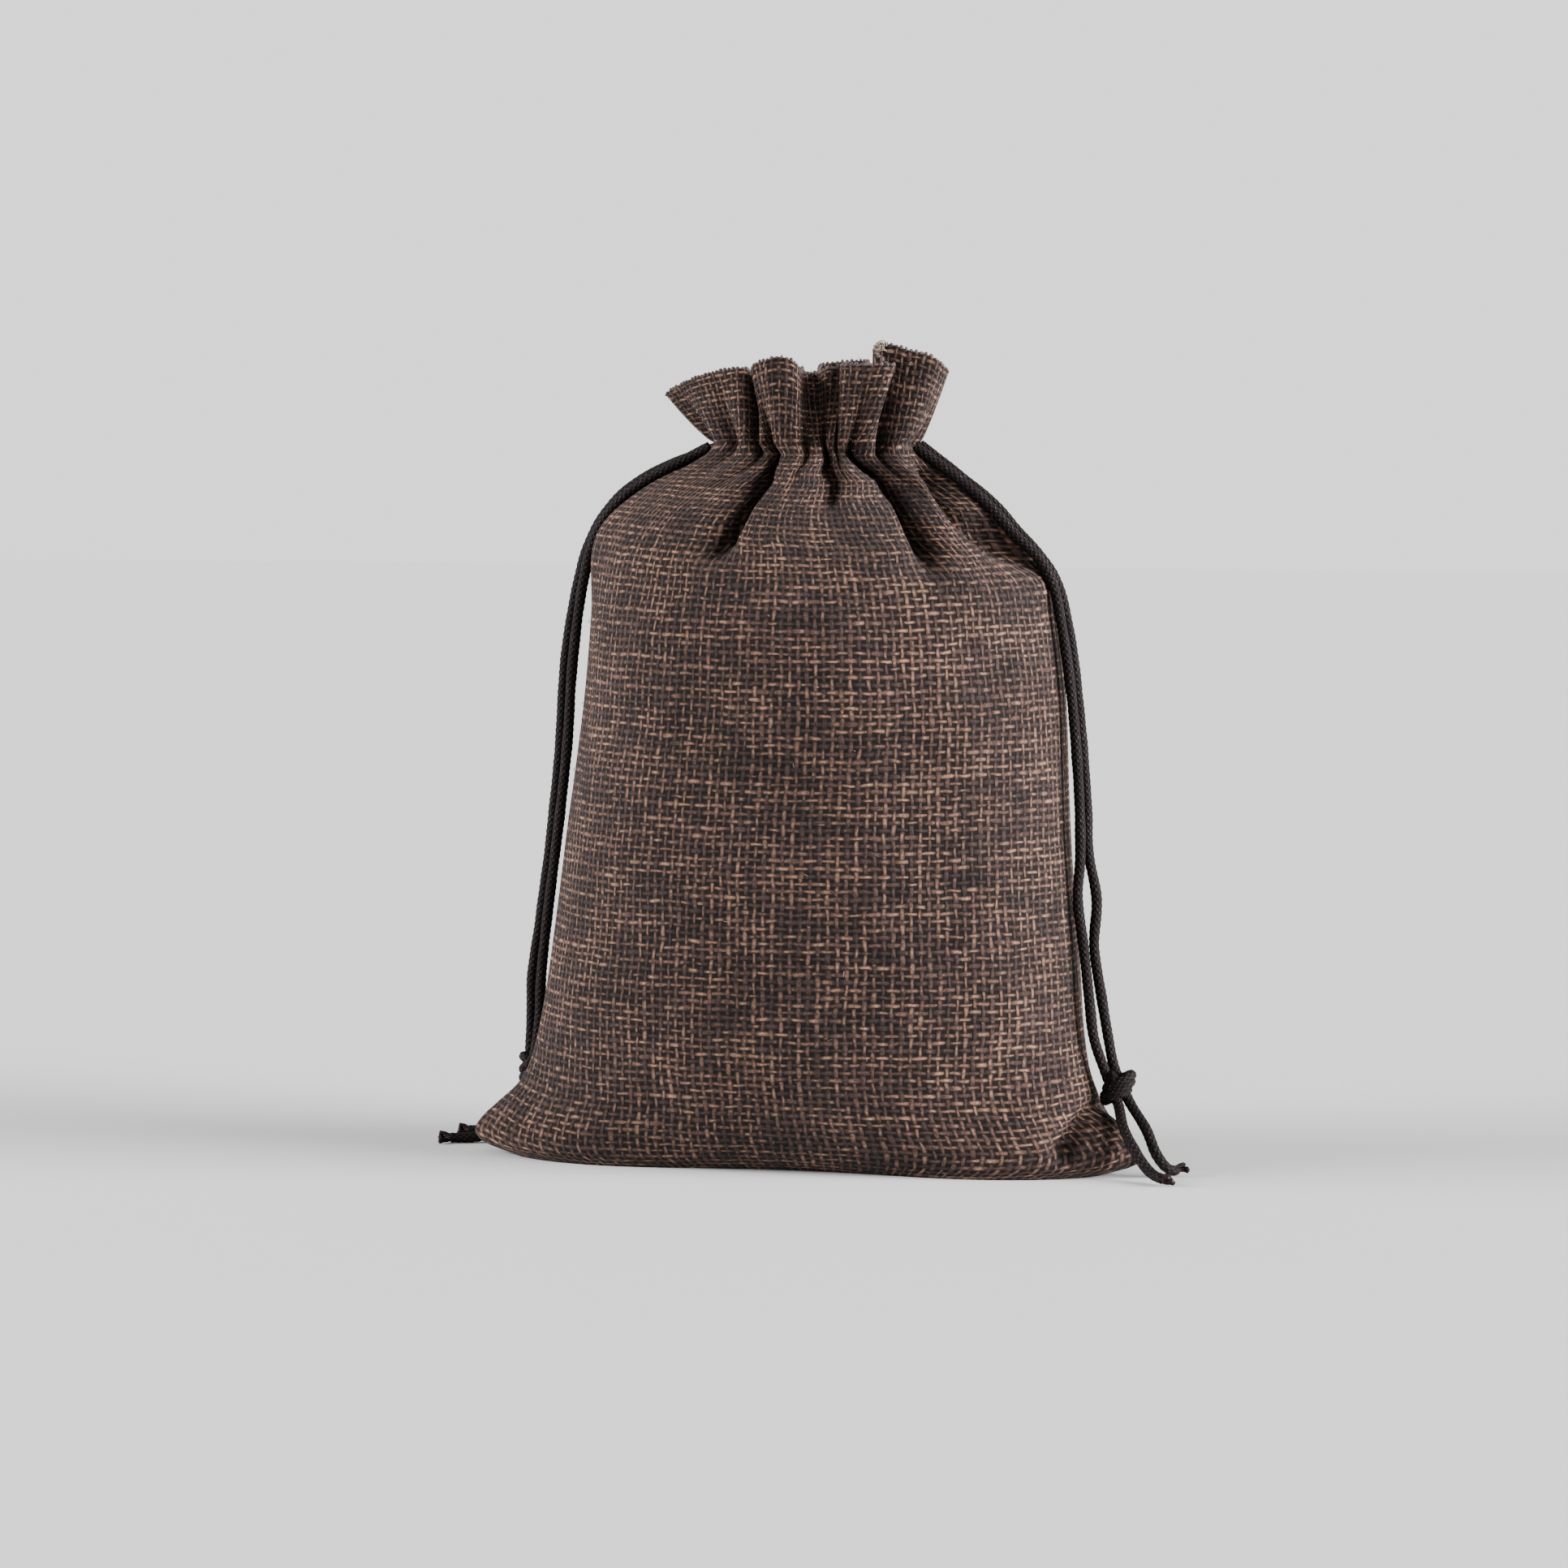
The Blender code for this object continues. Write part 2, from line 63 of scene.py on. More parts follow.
FULL_TURN = 2.0 * math.pi
# The map of the cloth coordinates, and the attribute that says how thickly stray fibres grow.
CLOTH_MAP = "cloth"
FRAYED = "frayed"
# The flat cloth's length once around the sack, and its upright yarns.
GIRTH = 262.0
WARP_YARNS = 154
# How far a braided strand's height swings about its middle as it goes over and under the others.
OVER_SWING = 0.28

Place = tuple[float, float, float]
Colour = tuple[float, float, float, float]
Patch = tuple[np.ndarray, list[list[int]], np.ndarray | None]
Sockets = dict[str, bpy.types.NodeSocket]


class Side(Enum):
    """Which half of the cloth a crease lies on: the sign of its depth axis."""

    FRONT = -1
    BACK = 1


class Slot(Enum):
    """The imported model's material slots."""

    BURLAP = "burlap"
    BRAID = "braid"


class BlendMode(Enum):
    """How one colour is laid over another in a material."""

    MIX = "MIX"
    MULTIPLY = "MULTIPLY"


@dataclass(frozen=True)
class Section:
    """A level section of the stuffed body.

    point is 1 for a round side and more for one that narrows to a seam. arch is how much of the belly is
    missing at its middle, where the bottom edge of the cloth lifts between the corners.
    """

    height: float
    left: float
    right: float
    seam_y: float
    front: float
    back: float
    point: float
    arch: float


@dataclass(frozen=True)
class Crease:
    """A trough in the body that runs down from the neck through three places seen from the front.

    It is a narrow slit in a wide, soft hollow. hollow and lip are shares of its depth.
    """

    side: Side
    bends: tuple[tuple[float, float], tuple[float, float], tuple[float, float]]
    first_width: float
    last_width: float
    depth: float
    hollow: float = 0.16
    lip: float = 0.08
    seam_keep: float = 5.0

    def sink(self, ring: np.ndarray) -> tuple[np.ndarray, np.ndarray]:
        """Return how far the crease sinks a ring of the body, and how far the lip beside it lifts the ring.

        Args:
            ring: points of the smooth body.

        Returns:
            The depth and the lift at each point, both faded out at the trough's ends and at the side seams.
        """
        bends = np.array(self.bends)
        place = ring[:, [0, 2]]
        nearest, reached = np.full(len(ring), np.inf), np.zeros(len(ring))
        for half in (0, 1):
            run = bends[half + 1] - bends[half]
            share = np.clip((place - bends[half]) @ run / (run @ run), 0.0, 1.0)
            distance = np.linalg.norm(place - bends[half] - share[:, None] * run, axis=1)
            reached = np.where(distance < nearest, 0.5 * (half + share), reached)
            nearest = np.minimum(nearest, distance)
        width = self.first_width + (self.last_width - self.first_width) * reached
        fade = ease(4.0 * (1.0 - reached)) * ease(0.45 + 1.6 * reached)
        fade = fade * ease(self.side.value * ring[:, 1] / self.seam_keep)
        slit = np.exp(-((nearest / width) ** 1.6))
        hollow = np.exp(-((nearest / (3.0 * width)) ** 2))
        swell = np.exp(-(((nearest - 4.2 * width) / (2.0 * width)) ** 2))
        sunk = self.depth * fade * ((1.0 - self.hollow) * slit + self.hollow * hollow)
        return sunk, self.lip * self.depth * fade * swell


SECTIONS = (
    Section(0.0, -57.1, 57.9, -10.4, -29.0, 24.0, 1.05, 0.48),
    Section(2.2, -64.1, 64.5, -10.8, -29.8, 26.0, 1.4, 0.3),
    Section(4.2, -65.5, 65.5, -10.8, -30.2, 27.0, 1.6, 0.2),
    Section(6.6, -64.3, 63.7, -9.8, -30.6, 28.0, 1.52, 0.12),
    Section(9.5, -61.5, 60.5, -8.0, -30.9, 29.0, 1.36, 0.06),
    Section(13.5, -57.7, 56.5, -5.4, -31.2, 29.8, 1.2, 0.02),
    Section(19.0, -55.5, 53.7, -3.0, -31.7, 30.6, 1.08, 0.0),
    Section(27.0, -53.9, 52.1, -1.0, -32.5, 31.7, 1.0, 0.0),
    Section(38.0, -52.3, 51.2, 0.0, -33.4, 32.9, 1.0, 0.0),
    Section(64.0, -48.7, 49.2, 0.0, -34.5, 34.4, 1.0, 0.0),
    Section(87.0, -45.5, 48.3, 0.0, -34.7, 34.7, 1.0, 0.0),
    Section(104.0, -43.9, 46.3, 0.0, -33.8, 33.4, 1.0, 0.0),
    Section(111.0, -43.4, 44.8, 0.0, -31.6, 31.2, 1.0, 0.0),
    Section(116.4, -42.6, 40.9, 0.0, -29.0, 28.8, 1.0, 0.0),
    Section(120.0, -41.4, 37.5, 0.0, -26.6, 26.4, 1.0, 0.0),
    Section(123.6, -38.6, 34.1, 0.0, -23.6, 23.4, 1.0, 0.0),
    Section(127.6, -33.5, 29.7, 0.0, -19.2, 19.2, 1.0, 0.0),
    Section(131.6, -27.1, 24.5, 0.0, -14.8, 14.8, 1.0, 0.0),
    Section(134.8, -20.9, 20.5, 0.0, -10.9, 10.9, 1.0, 0.0),
)

# The ruffle's rim, from the left tip round by the front: the left panel, the pocket behind the rounded tuck,
# the tuck, the recess, the front panel, the pleat folded back behind it, the right panel, and the rear folds.
RIM = (
    (-30.0, -0.5, 146.2), (-26.9, -3.5, 147.6), (-23.1, -7.0, 149.0), (-18.5, -10.0, 150.2),
    (-13.8, -12.0, 151.0), (-11.2, -12.5, 151.2), (-10.5, -11.4, 151.0), (-10.7, -9.0, 150.6),
    (-10.3, -6.8, 150.3), (-9.3, -6.2, 150.2), (-8.4, -7.4, 150.4), (-8.9, -10.2, 150.6),
    (-9.7, -13.0, 150.8), (-8.6, -15.2, 151.8), (-6.0, -16.8, 152.7), (-3.1, -17.3, 153.3),
    (-0.9, -16.5, 152.8), (0.1, -14.6, 151.5), (-0.3, -11.5, 150.6), (-0.6, -8.0, 150.4),
    (0.4, -5.8, 150.1), (1.6, -5.6, 149.9), (2.5, -7.0, 150.5), (3.7, -8.3, 151.2),
    (5.1, -8.2, 151.3), (5.9, -6.9, 151.2), (6.8, -7.4, 151.3), (7.0, -10.4, 151.6),
    (8.3, -12.9, 151.9), (11.0, -14.0, 151.9), (13.8, -14.1, 151.8), (16.5, -13.6, 151.9),
    (18.2, -12.3, 151.8), (18.2, -11.2, 151.8), (16.4, -10.5, 152.0), (14.3, -9.9, 153.6),
    (13.7, -8.8, 155.0), (15.3, -8.1, 155.7), (17.4, -7.7, 155.4), (19.3, -7.3, 154.6),
    (22.4, -7.0, 153.9), (24.6, -6.3, 153.0), (25.7, -3.6, 151.6), (25.8, 0.2, 150.6),
    (24.2, 3.4, 150.4), (20.4, 4.6, 150.2), (17.6, 4.4, 150.4), (17.0, 6.2, 151.2),
    (19.6, 8.8, 152.6), (19.6, 11.2, 153.4), (16.2, 12.6, 154.0), (12.6, 12.8, 153.8),
    (11.0, 10.6, 153.0), (11.2, 6.8, 151.6), (9.6, 4.8, 151.2), (8.0, 6.4, 151.6),
    (8.2, 10.6, 152.2), (6.2, 13.8, 152.6), (1.6, 14.9, 152.4), (-1.8, 14.4, 152.0),
    (-2.7, 11.8, 151.4), (-1.7, 7.4, 150.4), (-3.0, 5.4, 150.2), (-4.6, 7.2, 150.4),
    (-5.2, 11.4, 151.2), (-7.4, 14.2, 151.2), (-12.4, 13.6, 150.6), (-15.4, 11.8, 150.0),
    (-15.4, 9.0, 149.4), (-13.8, 6.0, 148.6), (-14.8, 4.4, 148.2), (-17.0, 5.6, 148.2),
    (-19.0, 9.0, 148.6), (-21.4, 10.6, 148.4), (-25.0, 8.4, 147.6), (-26.6, 5.8, 147.2),
    (-24.8, 3.9, 146.6), (-22.6, 3.2, 146.2), (-24.2, 2.0, 146.0), (-28.2, 1.4, 146.0),
)

CREASES = (
    Crease(Side.FRONT, ((-5.6, 137.0), (-10.2, 126.5), (-15.6, 113.5)), 1.4, 2.5, 9.5),
    Crease(Side.FRONT, ((3.4, 137.5), (5.4, 132.0), (8.4, 123.5)), 1.2, 1.9, 7.0),
    Crease(Side.FRONT, ((8.4, 137.0), (20.2, 126.6), (30.4, 111.0)), 1.4, 2.1, 10.5),
    Crease(Side.FRONT, ((20.4, 135.8), (30.6, 124.4), (46.4, 111.0)), 1.2, 1.8, 8.5),
    Crease(Side.BACK, ((11.9, 136.5), (18.9, 124.5), (23.9, 107.0)), 1.5, 2.7, 10.0),
    Crease(Side.BACK, ((-0.6, 137.0), (-3.1, 127.0), (-3.6, 113.5)), 1.3, 2.2, 7.0),
    Crease(Side.BACK, ((-11.6, 136.5), (-19.1, 125.5), (-26.1, 109.5)), 1.5, 2.7, 10.0),
    Crease(Side.FRONT, ((57.6, 13.0), (54.2, 8.2), (50.0, 2.6)), 1.5, 2.2, 4.8),
)

STRANDS = {
    "left_front": (
        (-24.3, -1.4, 134.4), (-30.7, -1.5, 131.2), (-37.0, -1.4, 127.2), (-41.5, -1.2, 122.6),
        (-44.3, -0.9, 117.4), (-46.0, -0.6, 111.0), (-47.4, -0.4, 103.0), (-48.7, -0.2, 92.0),
        (-49.6, 0.2, 80.0), (-51.0, 0.6, 68.0), (-52.7, 1.2, 56.0), (-54.5, 2.0, 44.0),
        (-56.0, 3.0, 33.0), (-56.7, 4.0, 25.0), (-57.8, 4.95, 18.4),
    ),
    "left_rear": (
        (-23.7, 1.3, 134.7), (-31.0, 1.5, 132.0), (-37.7, 1.6, 128.0), (-42.6, 1.7, 123.0),
        (-45.7, 1.8, 117.4), (-47.7, 1.9, 111.0), (-49.4, 1.9, 103.0), (-50.9, 1.9, 92.0),
        (-51.7, 2.2, 80.0), (-53.0, 2.7, 68.0), (-54.6, 3.3, 56.0), (-56.6, 4.3, 44.0),
        (-58.6, 5.5, 33.0), (-59.1, 6.4, 25.0), (-59.5, 7.0, 18.8),
    ),
    "right_front": (
        (22.8, -1.4, 134.0), (28.5, -1.7, 130.0), (34.1, -1.9, 125.2), (38.9, -2.1, 120.0),
        (43.6, -2.3, 115.4), (46.5, -2.6, 110.4), (48.1, -2.8, 103.4), (49.8, -3.1, 93.0),
        (51.1, -3.3, 81.0), (51.9, -3.4, 69.0), (52.1, -3.5, 59.0), (51.7, -3.6, 51.0),
        (52.9, -3.8, 42.0), (54.1, -4.1, 32.0), (55.1, -4.6, 25.0), (57.3, -5.2, 18.95),
    ),
    "right_rear": (
        (23.1, 1.2, 134.3), (28.3, 1.0, 130.4), (34.1, 0.8, 125.8), (38.9, 0.6, 120.6),
        (43.4, 0.4, 115.8), (46.8, 0.2, 110.5), (48.8, 0.0, 103.4), (50.5, -0.3, 93.0),
        (51.8, -0.5, 81.0), (52.8, -0.7, 69.0), (53.2, -1.0, 60.0), (54.9, -1.4, 51.0),
        (54.5, -1.5, 42.0), (56.1, -1.9, 32.0), (57.4, -2.3, 25.0), (58.7, -3.1, 19.35),
    ),
}
TAILS = {
    "left_front": (
        (-59.4, 4.6, 11.1), (-61.3, 3.4, 6.4), (-64.3, 1.4, 2.6), (-68.3, -0.4, 1.2), (-75.2, -2.6, 1.05),
    ),
    "left_rear": (
        (-60.0, 7.8, 11.3), (-62.3, 9.2, 5.8), (-65.3, 9.8, 2.2), (-68.9, 9.6, 1.1), (-72.9, 9.0, 1.05),
    ),
    "right_front": (
        (60.3, -7.05, 12.75), (62.3, -12.4, 9.2), (65.5, -17.0, 5.2), (69.1, -19.4, 1.7), (74.5, -24.6, 1.05),
    ),
    "right_rear": (
        (62.3, -5.8, 13.0), (66.1, -9.6, 8.6), (68.5, -12.2, 4.4), (70.9, -12.0, 1.6), (73.2, -8.4, 1.05),
    ),
}

# How far short of its route's end each cord stops, which leaves room for its frayed yarns.
END_ROOM = {"left_front": 2.2, "left_rear": 0.3, "right_front": 4.5, "right_rear": 3.0}


def ease(value: np.ndarray | float) -> np.ndarray:
    """Return a smooth step from 0 at 0 to 1 at 1, flat at both ends."""
    held = np.clip(value, 0.0, 1.0)
    return held * held * (3.0 - 2.0 * held)


def close_ring(ring: np.ndarray) -> np.ndarray:
    """Return a ring with its first point again at its end."""
    return np.concatenate((ring, ring[:1]))


def evened(values: np.ndarray, reach: int, axis: int = 0) -> np.ndarray:
    """Return values round a ring, each averaged with its neighbours within reach on both sides."""
    total = sum(np.roll(values, shift, axis=axis) for shift in range(-reach, reach + 1))
    return total / (2 * reach + 1)


def path_length(path: np.ndarray) -> float:
    """Return the length of a polyline."""
    return float(np.linalg.norm(np.diff(path, axis=0), axis=1).sum())


def lengths_reached(path: np.ndarray) -> np.ndarray:
    """Return how far along a polyline each of its points lies."""
    return np.concatenate(([0.0], np.cumsum(np.linalg.norm(np.diff(path, axis=0), axis=1))))


def read_rows(targets: np.ndarray, known: np.ndarray, rows: np.ndarray) -> np.ndarray:
    """Return the points that lie at the targets between rows of points at known values."""
    return np.stack([np.interp(targets, known, rows[:, axis]) for axis in range(3)], axis=1)


def read_along(points: np.ndarray, shares: np.ndarray) -> np.ndarray:
    """Return the points at given shares of a polyline's length."""
    reached = lengths_reached(points)
    return read_rows(np.asarray(shares) * reached[-1], reached, points)


def read_halves(front: np.ndarray, back: np.ndarray, shares: np.ndarray) -> np.ndarray:
    """Read a ring that is made of two lines with the same ends.

    Args:
        front: the line from the left tip to the right one.
        back: the line from the right tip back to the left one.
        shares: shares of the way round, where 0.5 is the right tip.

    Returns:
        One point for each share.
    """
    return np.where(
        (shares < 0.5)[:, None],
        read_along(front, np.clip(2.0 * shares, 0.0, 1.0)),
        read_along(back, np.clip(2.0 * shares - 1.0, 0.0, 1.0)),
    )


def curve_through(points: Sequence[Sequence[float]], steps: int = 24, closed: bool = False) -> np.ndarray:
    """Return a dense Catmull-Rom curve through points.

    Args:
        points: the places that the curve passes through.
        steps: samples from one place to the next.
        closed: whether the curve goes back to its first place.

    Returns:
        The samples, with the last place included on an open curve.
    """
    knots = np.asarray(points, dtype=float)
    if closed:
        padded = np.concatenate((knots[-1:], knots, knots[:2]))
    else:
        padded = np.concatenate((2 * knots[:1] - knots[1:2], knots, 2 * knots[-1:] - knots[-2:-1]))
    share = (np.arange(steps) / steps)[:, None]
    square, cube = share**2, share**3
    dense = []
    for index in range(1, len(padded) - 2):
        before, start, end, after = padded[index - 1 : index + 3]
        rise = (end - before) * share
        bend = (2 * before - 5 * start + 4 * end - after) * square
        dense.append(0.5 * (2 * start + rise + bend + (3 * start - before - 3 * end + after) * cube))
    if not closed:
        dense.append(knots[-1:])
    return np.concatenate(dense)


def even_path(points: Sequence[Sequence[float]], step: float) -> np.ndarray:
    """Return points on a smooth open curve, about a step apart."""
    dense = curve_through(points)
    return read_along(dense, np.linspace(0.0, 1.0, int(round(path_length(dense) / step)) + 1))


def aim(made: bpy.types.Object, azimuth: float, elevation: float, distance: float, target: Vector) -> None:
    """Stand an object off a target and turn it to look there.

    Args:
        made: the object.
        azimuth: where it stands, in degrees from the front towards the sack's right.
        elevation: how high it stands, in degrees.
        distance: how far off it stands, in metres.
        target: the place that it looks at.
    """
    turn, lift = math.radians(azimuth), math.radians(elevation)
    back = Vector((math.sin(turn) * math.cos(lift), -math.cos(turn) * math.cos(lift), math.sin(lift)))
    made.location = target + back * distance
    made.rotation_euler = (-back).to_track_quat("-Z", "Y").to_euler()


def link(name: str, data: bpy.types.ID) -> bpy.types.Object:
    """Put a new object at the scene's origin.

    Args:
        name: the object's name.
        data: its mesh, camera or light.

    Returns:
        The object.
    """
    made = bpy.data.objects.new(name, data)
    bpy.context.scene.collection.objects.link(made)
    return made


def make_mesh(name: str, patch: Patch, material: bpy.types.Material) -> bpy.types.Object:
    """Turn a patch of skin into a smooth-shaded object at the origin.

    Args:
        name: the object's name.
        patch: the points in millimetres, the faces turned outwards, and a pair of cloth coordinates for each
            corner of the faces, or None.
        material: what the piece is made of.

    Returns:
        The new object.
    """
    points, faces, uv = patch
    mesh = bpy.data.meshes.new(name)
    mesh.from_pydata((points * MM).tolist(), [], faces)
    if uv is not None:
        mesh.uv_layers.new(name=CLOTH_MAP).data.foreach_set("uv", np.asarray(uv, dtype=np.float32).ravel())
    mesh.materials.append(material)
    mesh.shade_smooth()
    return link(name, mesh)


def tube_faces(rings: int, count: int) -> list[list[int]]:
    """Return the quads between closed rings.

    Args:
        rings: how many rings there are.
        count: how many points each has.

    Returns:
        The faces, each with its points' numbers.
    """
    index = np.arange(rings * count).reshape(rings, count)
    after = np.roll(index, -1, axis=1)
    return np.stack((index[:-1], after[:-1], after[1:], index[1:]), axis=-1).reshape(-1, 4).tolist()


def tube_uv(around: np.ndarray, along: np.ndarray) -> np.ndarray:
    """Return the cloth coordinates of the corners of tube_faces' quads.

    Args:
        around: the coordinate across each column, and of the first column once round.
        along: the other coordinate, with a row for each ring and a column for each value of around.

    Returns:
        One pair for each corner.
    """
    both = np.stack((np.broadcast_to(around, along.shape), along), axis=-1)
    return np.stack((both[:-1, :-1], both[:-1, 1:], both[1:, 1:], both[1:, :-1]), axis=2).reshape(-1, 2)


def join_patches(patches: Sequence[Patch]) -> Patch:
    """Join patches of skin into one.

    Args:
        patches: the patches, each with its cloth coordinates.

    Returns:
        The whole skin.
    """
    faces, first = [], 0
    for points, more, _ in patches:
        faces += [[corner + first for corner in face] for face in more]
        first += len(points)
    points, uv = (np.concatenate([patch[part] for patch in patches]) for part in (0, 2))
    return points, faces, uv


def settle(piece: bpy.types.Object) -> bpy.types.Object:
    """Ride a piece on the sack's only body and report it.

    Args:
        piece: the piece.

    Returns:
        The piece.
    """
    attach(piece, "root")
    LOG.info("%s: %d faces", piece.name, len(piece.data.polygons))
    return piece


class NodeDesk:
    """Adds nodes to one tree and joins them."""

    def __init__(self, tree: bpy.types.NodeTree) -> None:
        """Take the tree that the nodes go into."""
        self.tree = tree

    def fill(self, node: bpy.types.Node, inputs: dict[str | int, object]) -> bpy.types.Node:
        """Join or set a node's inputs.

        Args:
            node: the node.
            inputs: for each input's name or number, the socket it is joined to or its plain value.

        Returns:
            The node.
        """
        for key, value in inputs.items():
            if isinstance(value, bpy.types.NodeSocket):
                self.tree.links.new(value, node.inputs[key])
            else:
                node.inputs[key].default_value = value
        return node

    def add(
        self, kind: str, inputs: dict[str | int, object] | None = None, **settings: object
    ) -> bpy.types.Node:
        """Add a node.

        Args:
            kind: the node's type.
            inputs: its inputs, as fill takes them.
            settings: properties to set on it.

        Returns:
            The node.
        """
        node = self.tree.nodes.new(kind)
        for key, value in settings.items():
            setattr(node, key, value)
        return self.fill(node, inputs or {})

    def math(self, operation: str, *values: object, clamp: bool = False) -> bpy.types.NodeSocket:
        """Add a Math node.

        Args:
            operation: the operation's name.
            values: its inputs, each a socket or a number.
            clamp: whether the result is held between 0 and 1.

        Returns:
            The result's socket.
        """
        node = self.add("ShaderNodeMath", dict(enumerate(values)), operation=operation, use_clamp=clamp)
        return node.outputs[0]

    def sway(self, value: object, amount: object, base: object = 0.0) -> bpy.types.NodeSocket:
        """Return a base plus an amount times how far a value lies from its middle of 0.5."""
        return self.math("MULTIPLY_ADD", self.math("SUBTRACT", value, 0.5), amount, base)

    def remap(
        self, value: object, low: float, high: float, to_low: float = 0.0, to_high: float = 1.0
    ) -> bpy.types.NodeSocket:
        """Map a range of values to another, eased and held at both ends.

        Args:
            value: the value's socket.
            low: where the range starts.
            high: where the range ends.
            to_low: the result at its start.
            to_high: the result at its end.

        Returns:
            The result's socket.
        """
        values = dict(enumerate((value, low, high, to_low, to_high)))
        return self.add("ShaderNodeMapRange", values, interpolation_type="SMOOTHSTEP").outputs[0]

    def vector(self, x: object, y: object, z: object = 0.0) -> bpy.types.NodeSocket:
        """Join three values into a vector."""
        return self.add("ShaderNodeCombineXYZ", {0: x, 1: y, 2: z}).outputs[0]

    def noise(self, place: object, scale: float, detail: float = 1.0) -> bpy.types.NodeSocket:
        """Return the value of a noise texture over a place's coordinates."""
        set_to = {"Vector": place, "Scale": scale, "Detail": detail}
        return self.add("ShaderNodeTexNoise", set_to).outputs["Fac"]

    def noises(self, place: object, scale: float, detail: float) -> bpy.types.NodeOutputs:
        """Return three values that a noise texture gives over a place's coordinates."""
        texture = self.add("ShaderNodeTexNoise", {"Vector": place, "Scale": scale, "Detail": detail})
        return self.add("ShaderNodeSeparateColor", {0: texture.outputs["Color"]}).outputs

    def object_place(self) -> bpy.types.NodeSocket:
        """Return the object's own coordinates, in metres."""
        return self.add("ShaderNodeTexCoord").outputs["Object"]

    def cloth_place(self) -> bpy.types.NodeSocket:
        """Return the cloth coordinates, in millimetres."""
        return self.add("ShaderNodeUVMap", uv_map=CLOTH_MAP).outputs[0]

    def mix(
        self, share: object, under: object, over: object, mode: BlendMode = BlendMode.MIX
    ) -> bpy.types.NodeSocket:
        """Lay one colour over another.

        Args:
            share: how much of the second shows.
            under: the first colour.
            over: the second colour.
            mode: how they are laid together.

        Returns:
            The colour's socket.
        """
        values = {0: share, 6: under, 7: over}
        return self.add("ShaderNodeMix", values, data_type="RGBA", blend_type=mode.value).outputs[2]

    def shaded(self, colour: object, shade: object) -> bpy.types.NodeSocket:
        """Return a colour multiplied by a shade."""
        return self.mix(1.0, colour, self.vector(shade, shade, shade), BlendMode.MULTIPLY)

    def bump(self, height: object, relief: float, strength: float = 1.0) -> bpy.types.NodeSocket:
        """Return the normal of a surface raised by a height, whose full relief is in metres."""
        set_to = {"Height": height, "Distance": relief, "Strength": strength}
        return self.add("ShaderNodeBump", set_to).outputs[0]


@dataclass(frozen=True)
class ShaderGroup:
    """An effect that is kept as a shader node group, built once, with the function that makes its nodes.

    An input's default is a number, a colour, or None for a vector.
    """

    name: str
    inputs: dict[str, float | Colour | None]
    outputs: dict[str, str]
    nodes: Callable[[NodeDesk, bpy.types.NodeOutputs], Sockets]

    def tree(self) -> bpy.types.NodeTree:
        """Return the node group, made on first use.

        Returns:
            The node group.
        """
        made = bpy.data.node_groups.get(self.name)
        if made is not None:
            return made
        tree = bpy.data.node_groups.new(self.name, "ShaderNodeTree")
        kinds = {float: "NodeSocketFloat", tuple: "NodeSocketColor"}
        for label, default in self.inputs.items():
            kind = kinds.get(type(default), "NodeSocketVector")
            socket = tree.interface.new_socket(label, in_out="INPUT", socket_type=kind)
            if default is not None:
                socket.default_value = default
        for label, kind in self.outputs.items():
            tree.interface.new_socket(label, in_out="OUTPUT", socket_type=kind)
        desk = NodeDesk(tree)
        desk.add("NodeGroupOutput", self.nodes(desk, desk.add("NodeGroupInput").outputs))
        return tree


def fibre_nodes(desk: NodeDesk, given: bpy.types.NodeOutputs) -> Sockets:
    """Spin pale fibres into a dark yarn, as dashes gathered in runs.

    Args:
        desk: the group's desk.
        given: the group's inputs.

    Returns:
        Where the pale fibres show, and the tone of the yarn under them.
    """
    dashes_per_yarn, runs_per_yarn, run_pull, sharpness = 0.92, 0.11, 0.75, 4.0
    lane = desk.math("MULTIPLY_ADD", given["Yarn"], 7.31, given["Seed"])
    dash = desk.noise(desk.vector(lane, desk.math("MULTIPLY", given["Along"], dashes_per_yarn)), 1.0, 1.5)
    other_lane = desk.math("ADD", lane, 41.3)
    run = desk.noise(desk.vector(other_lane, desk.math("MULTIPLY", given["Along"], runs_per_yarn)), 1.0, 1.0)
    reach = desk.sway(run, run_pull, dash)
    edge = desk.math("SUBTRACT", 0.92, desk.math("MULTIPLY", given["Amount"], 0.8))
    sharp = desk.math("MULTIPLY_ADD", desk.math("SUBTRACT", reach, edge), sharpness, 0.22, clamp=True)
    return {"Dash": sharp, "Tone": desk.remap(run, 0.3, 0.7)}


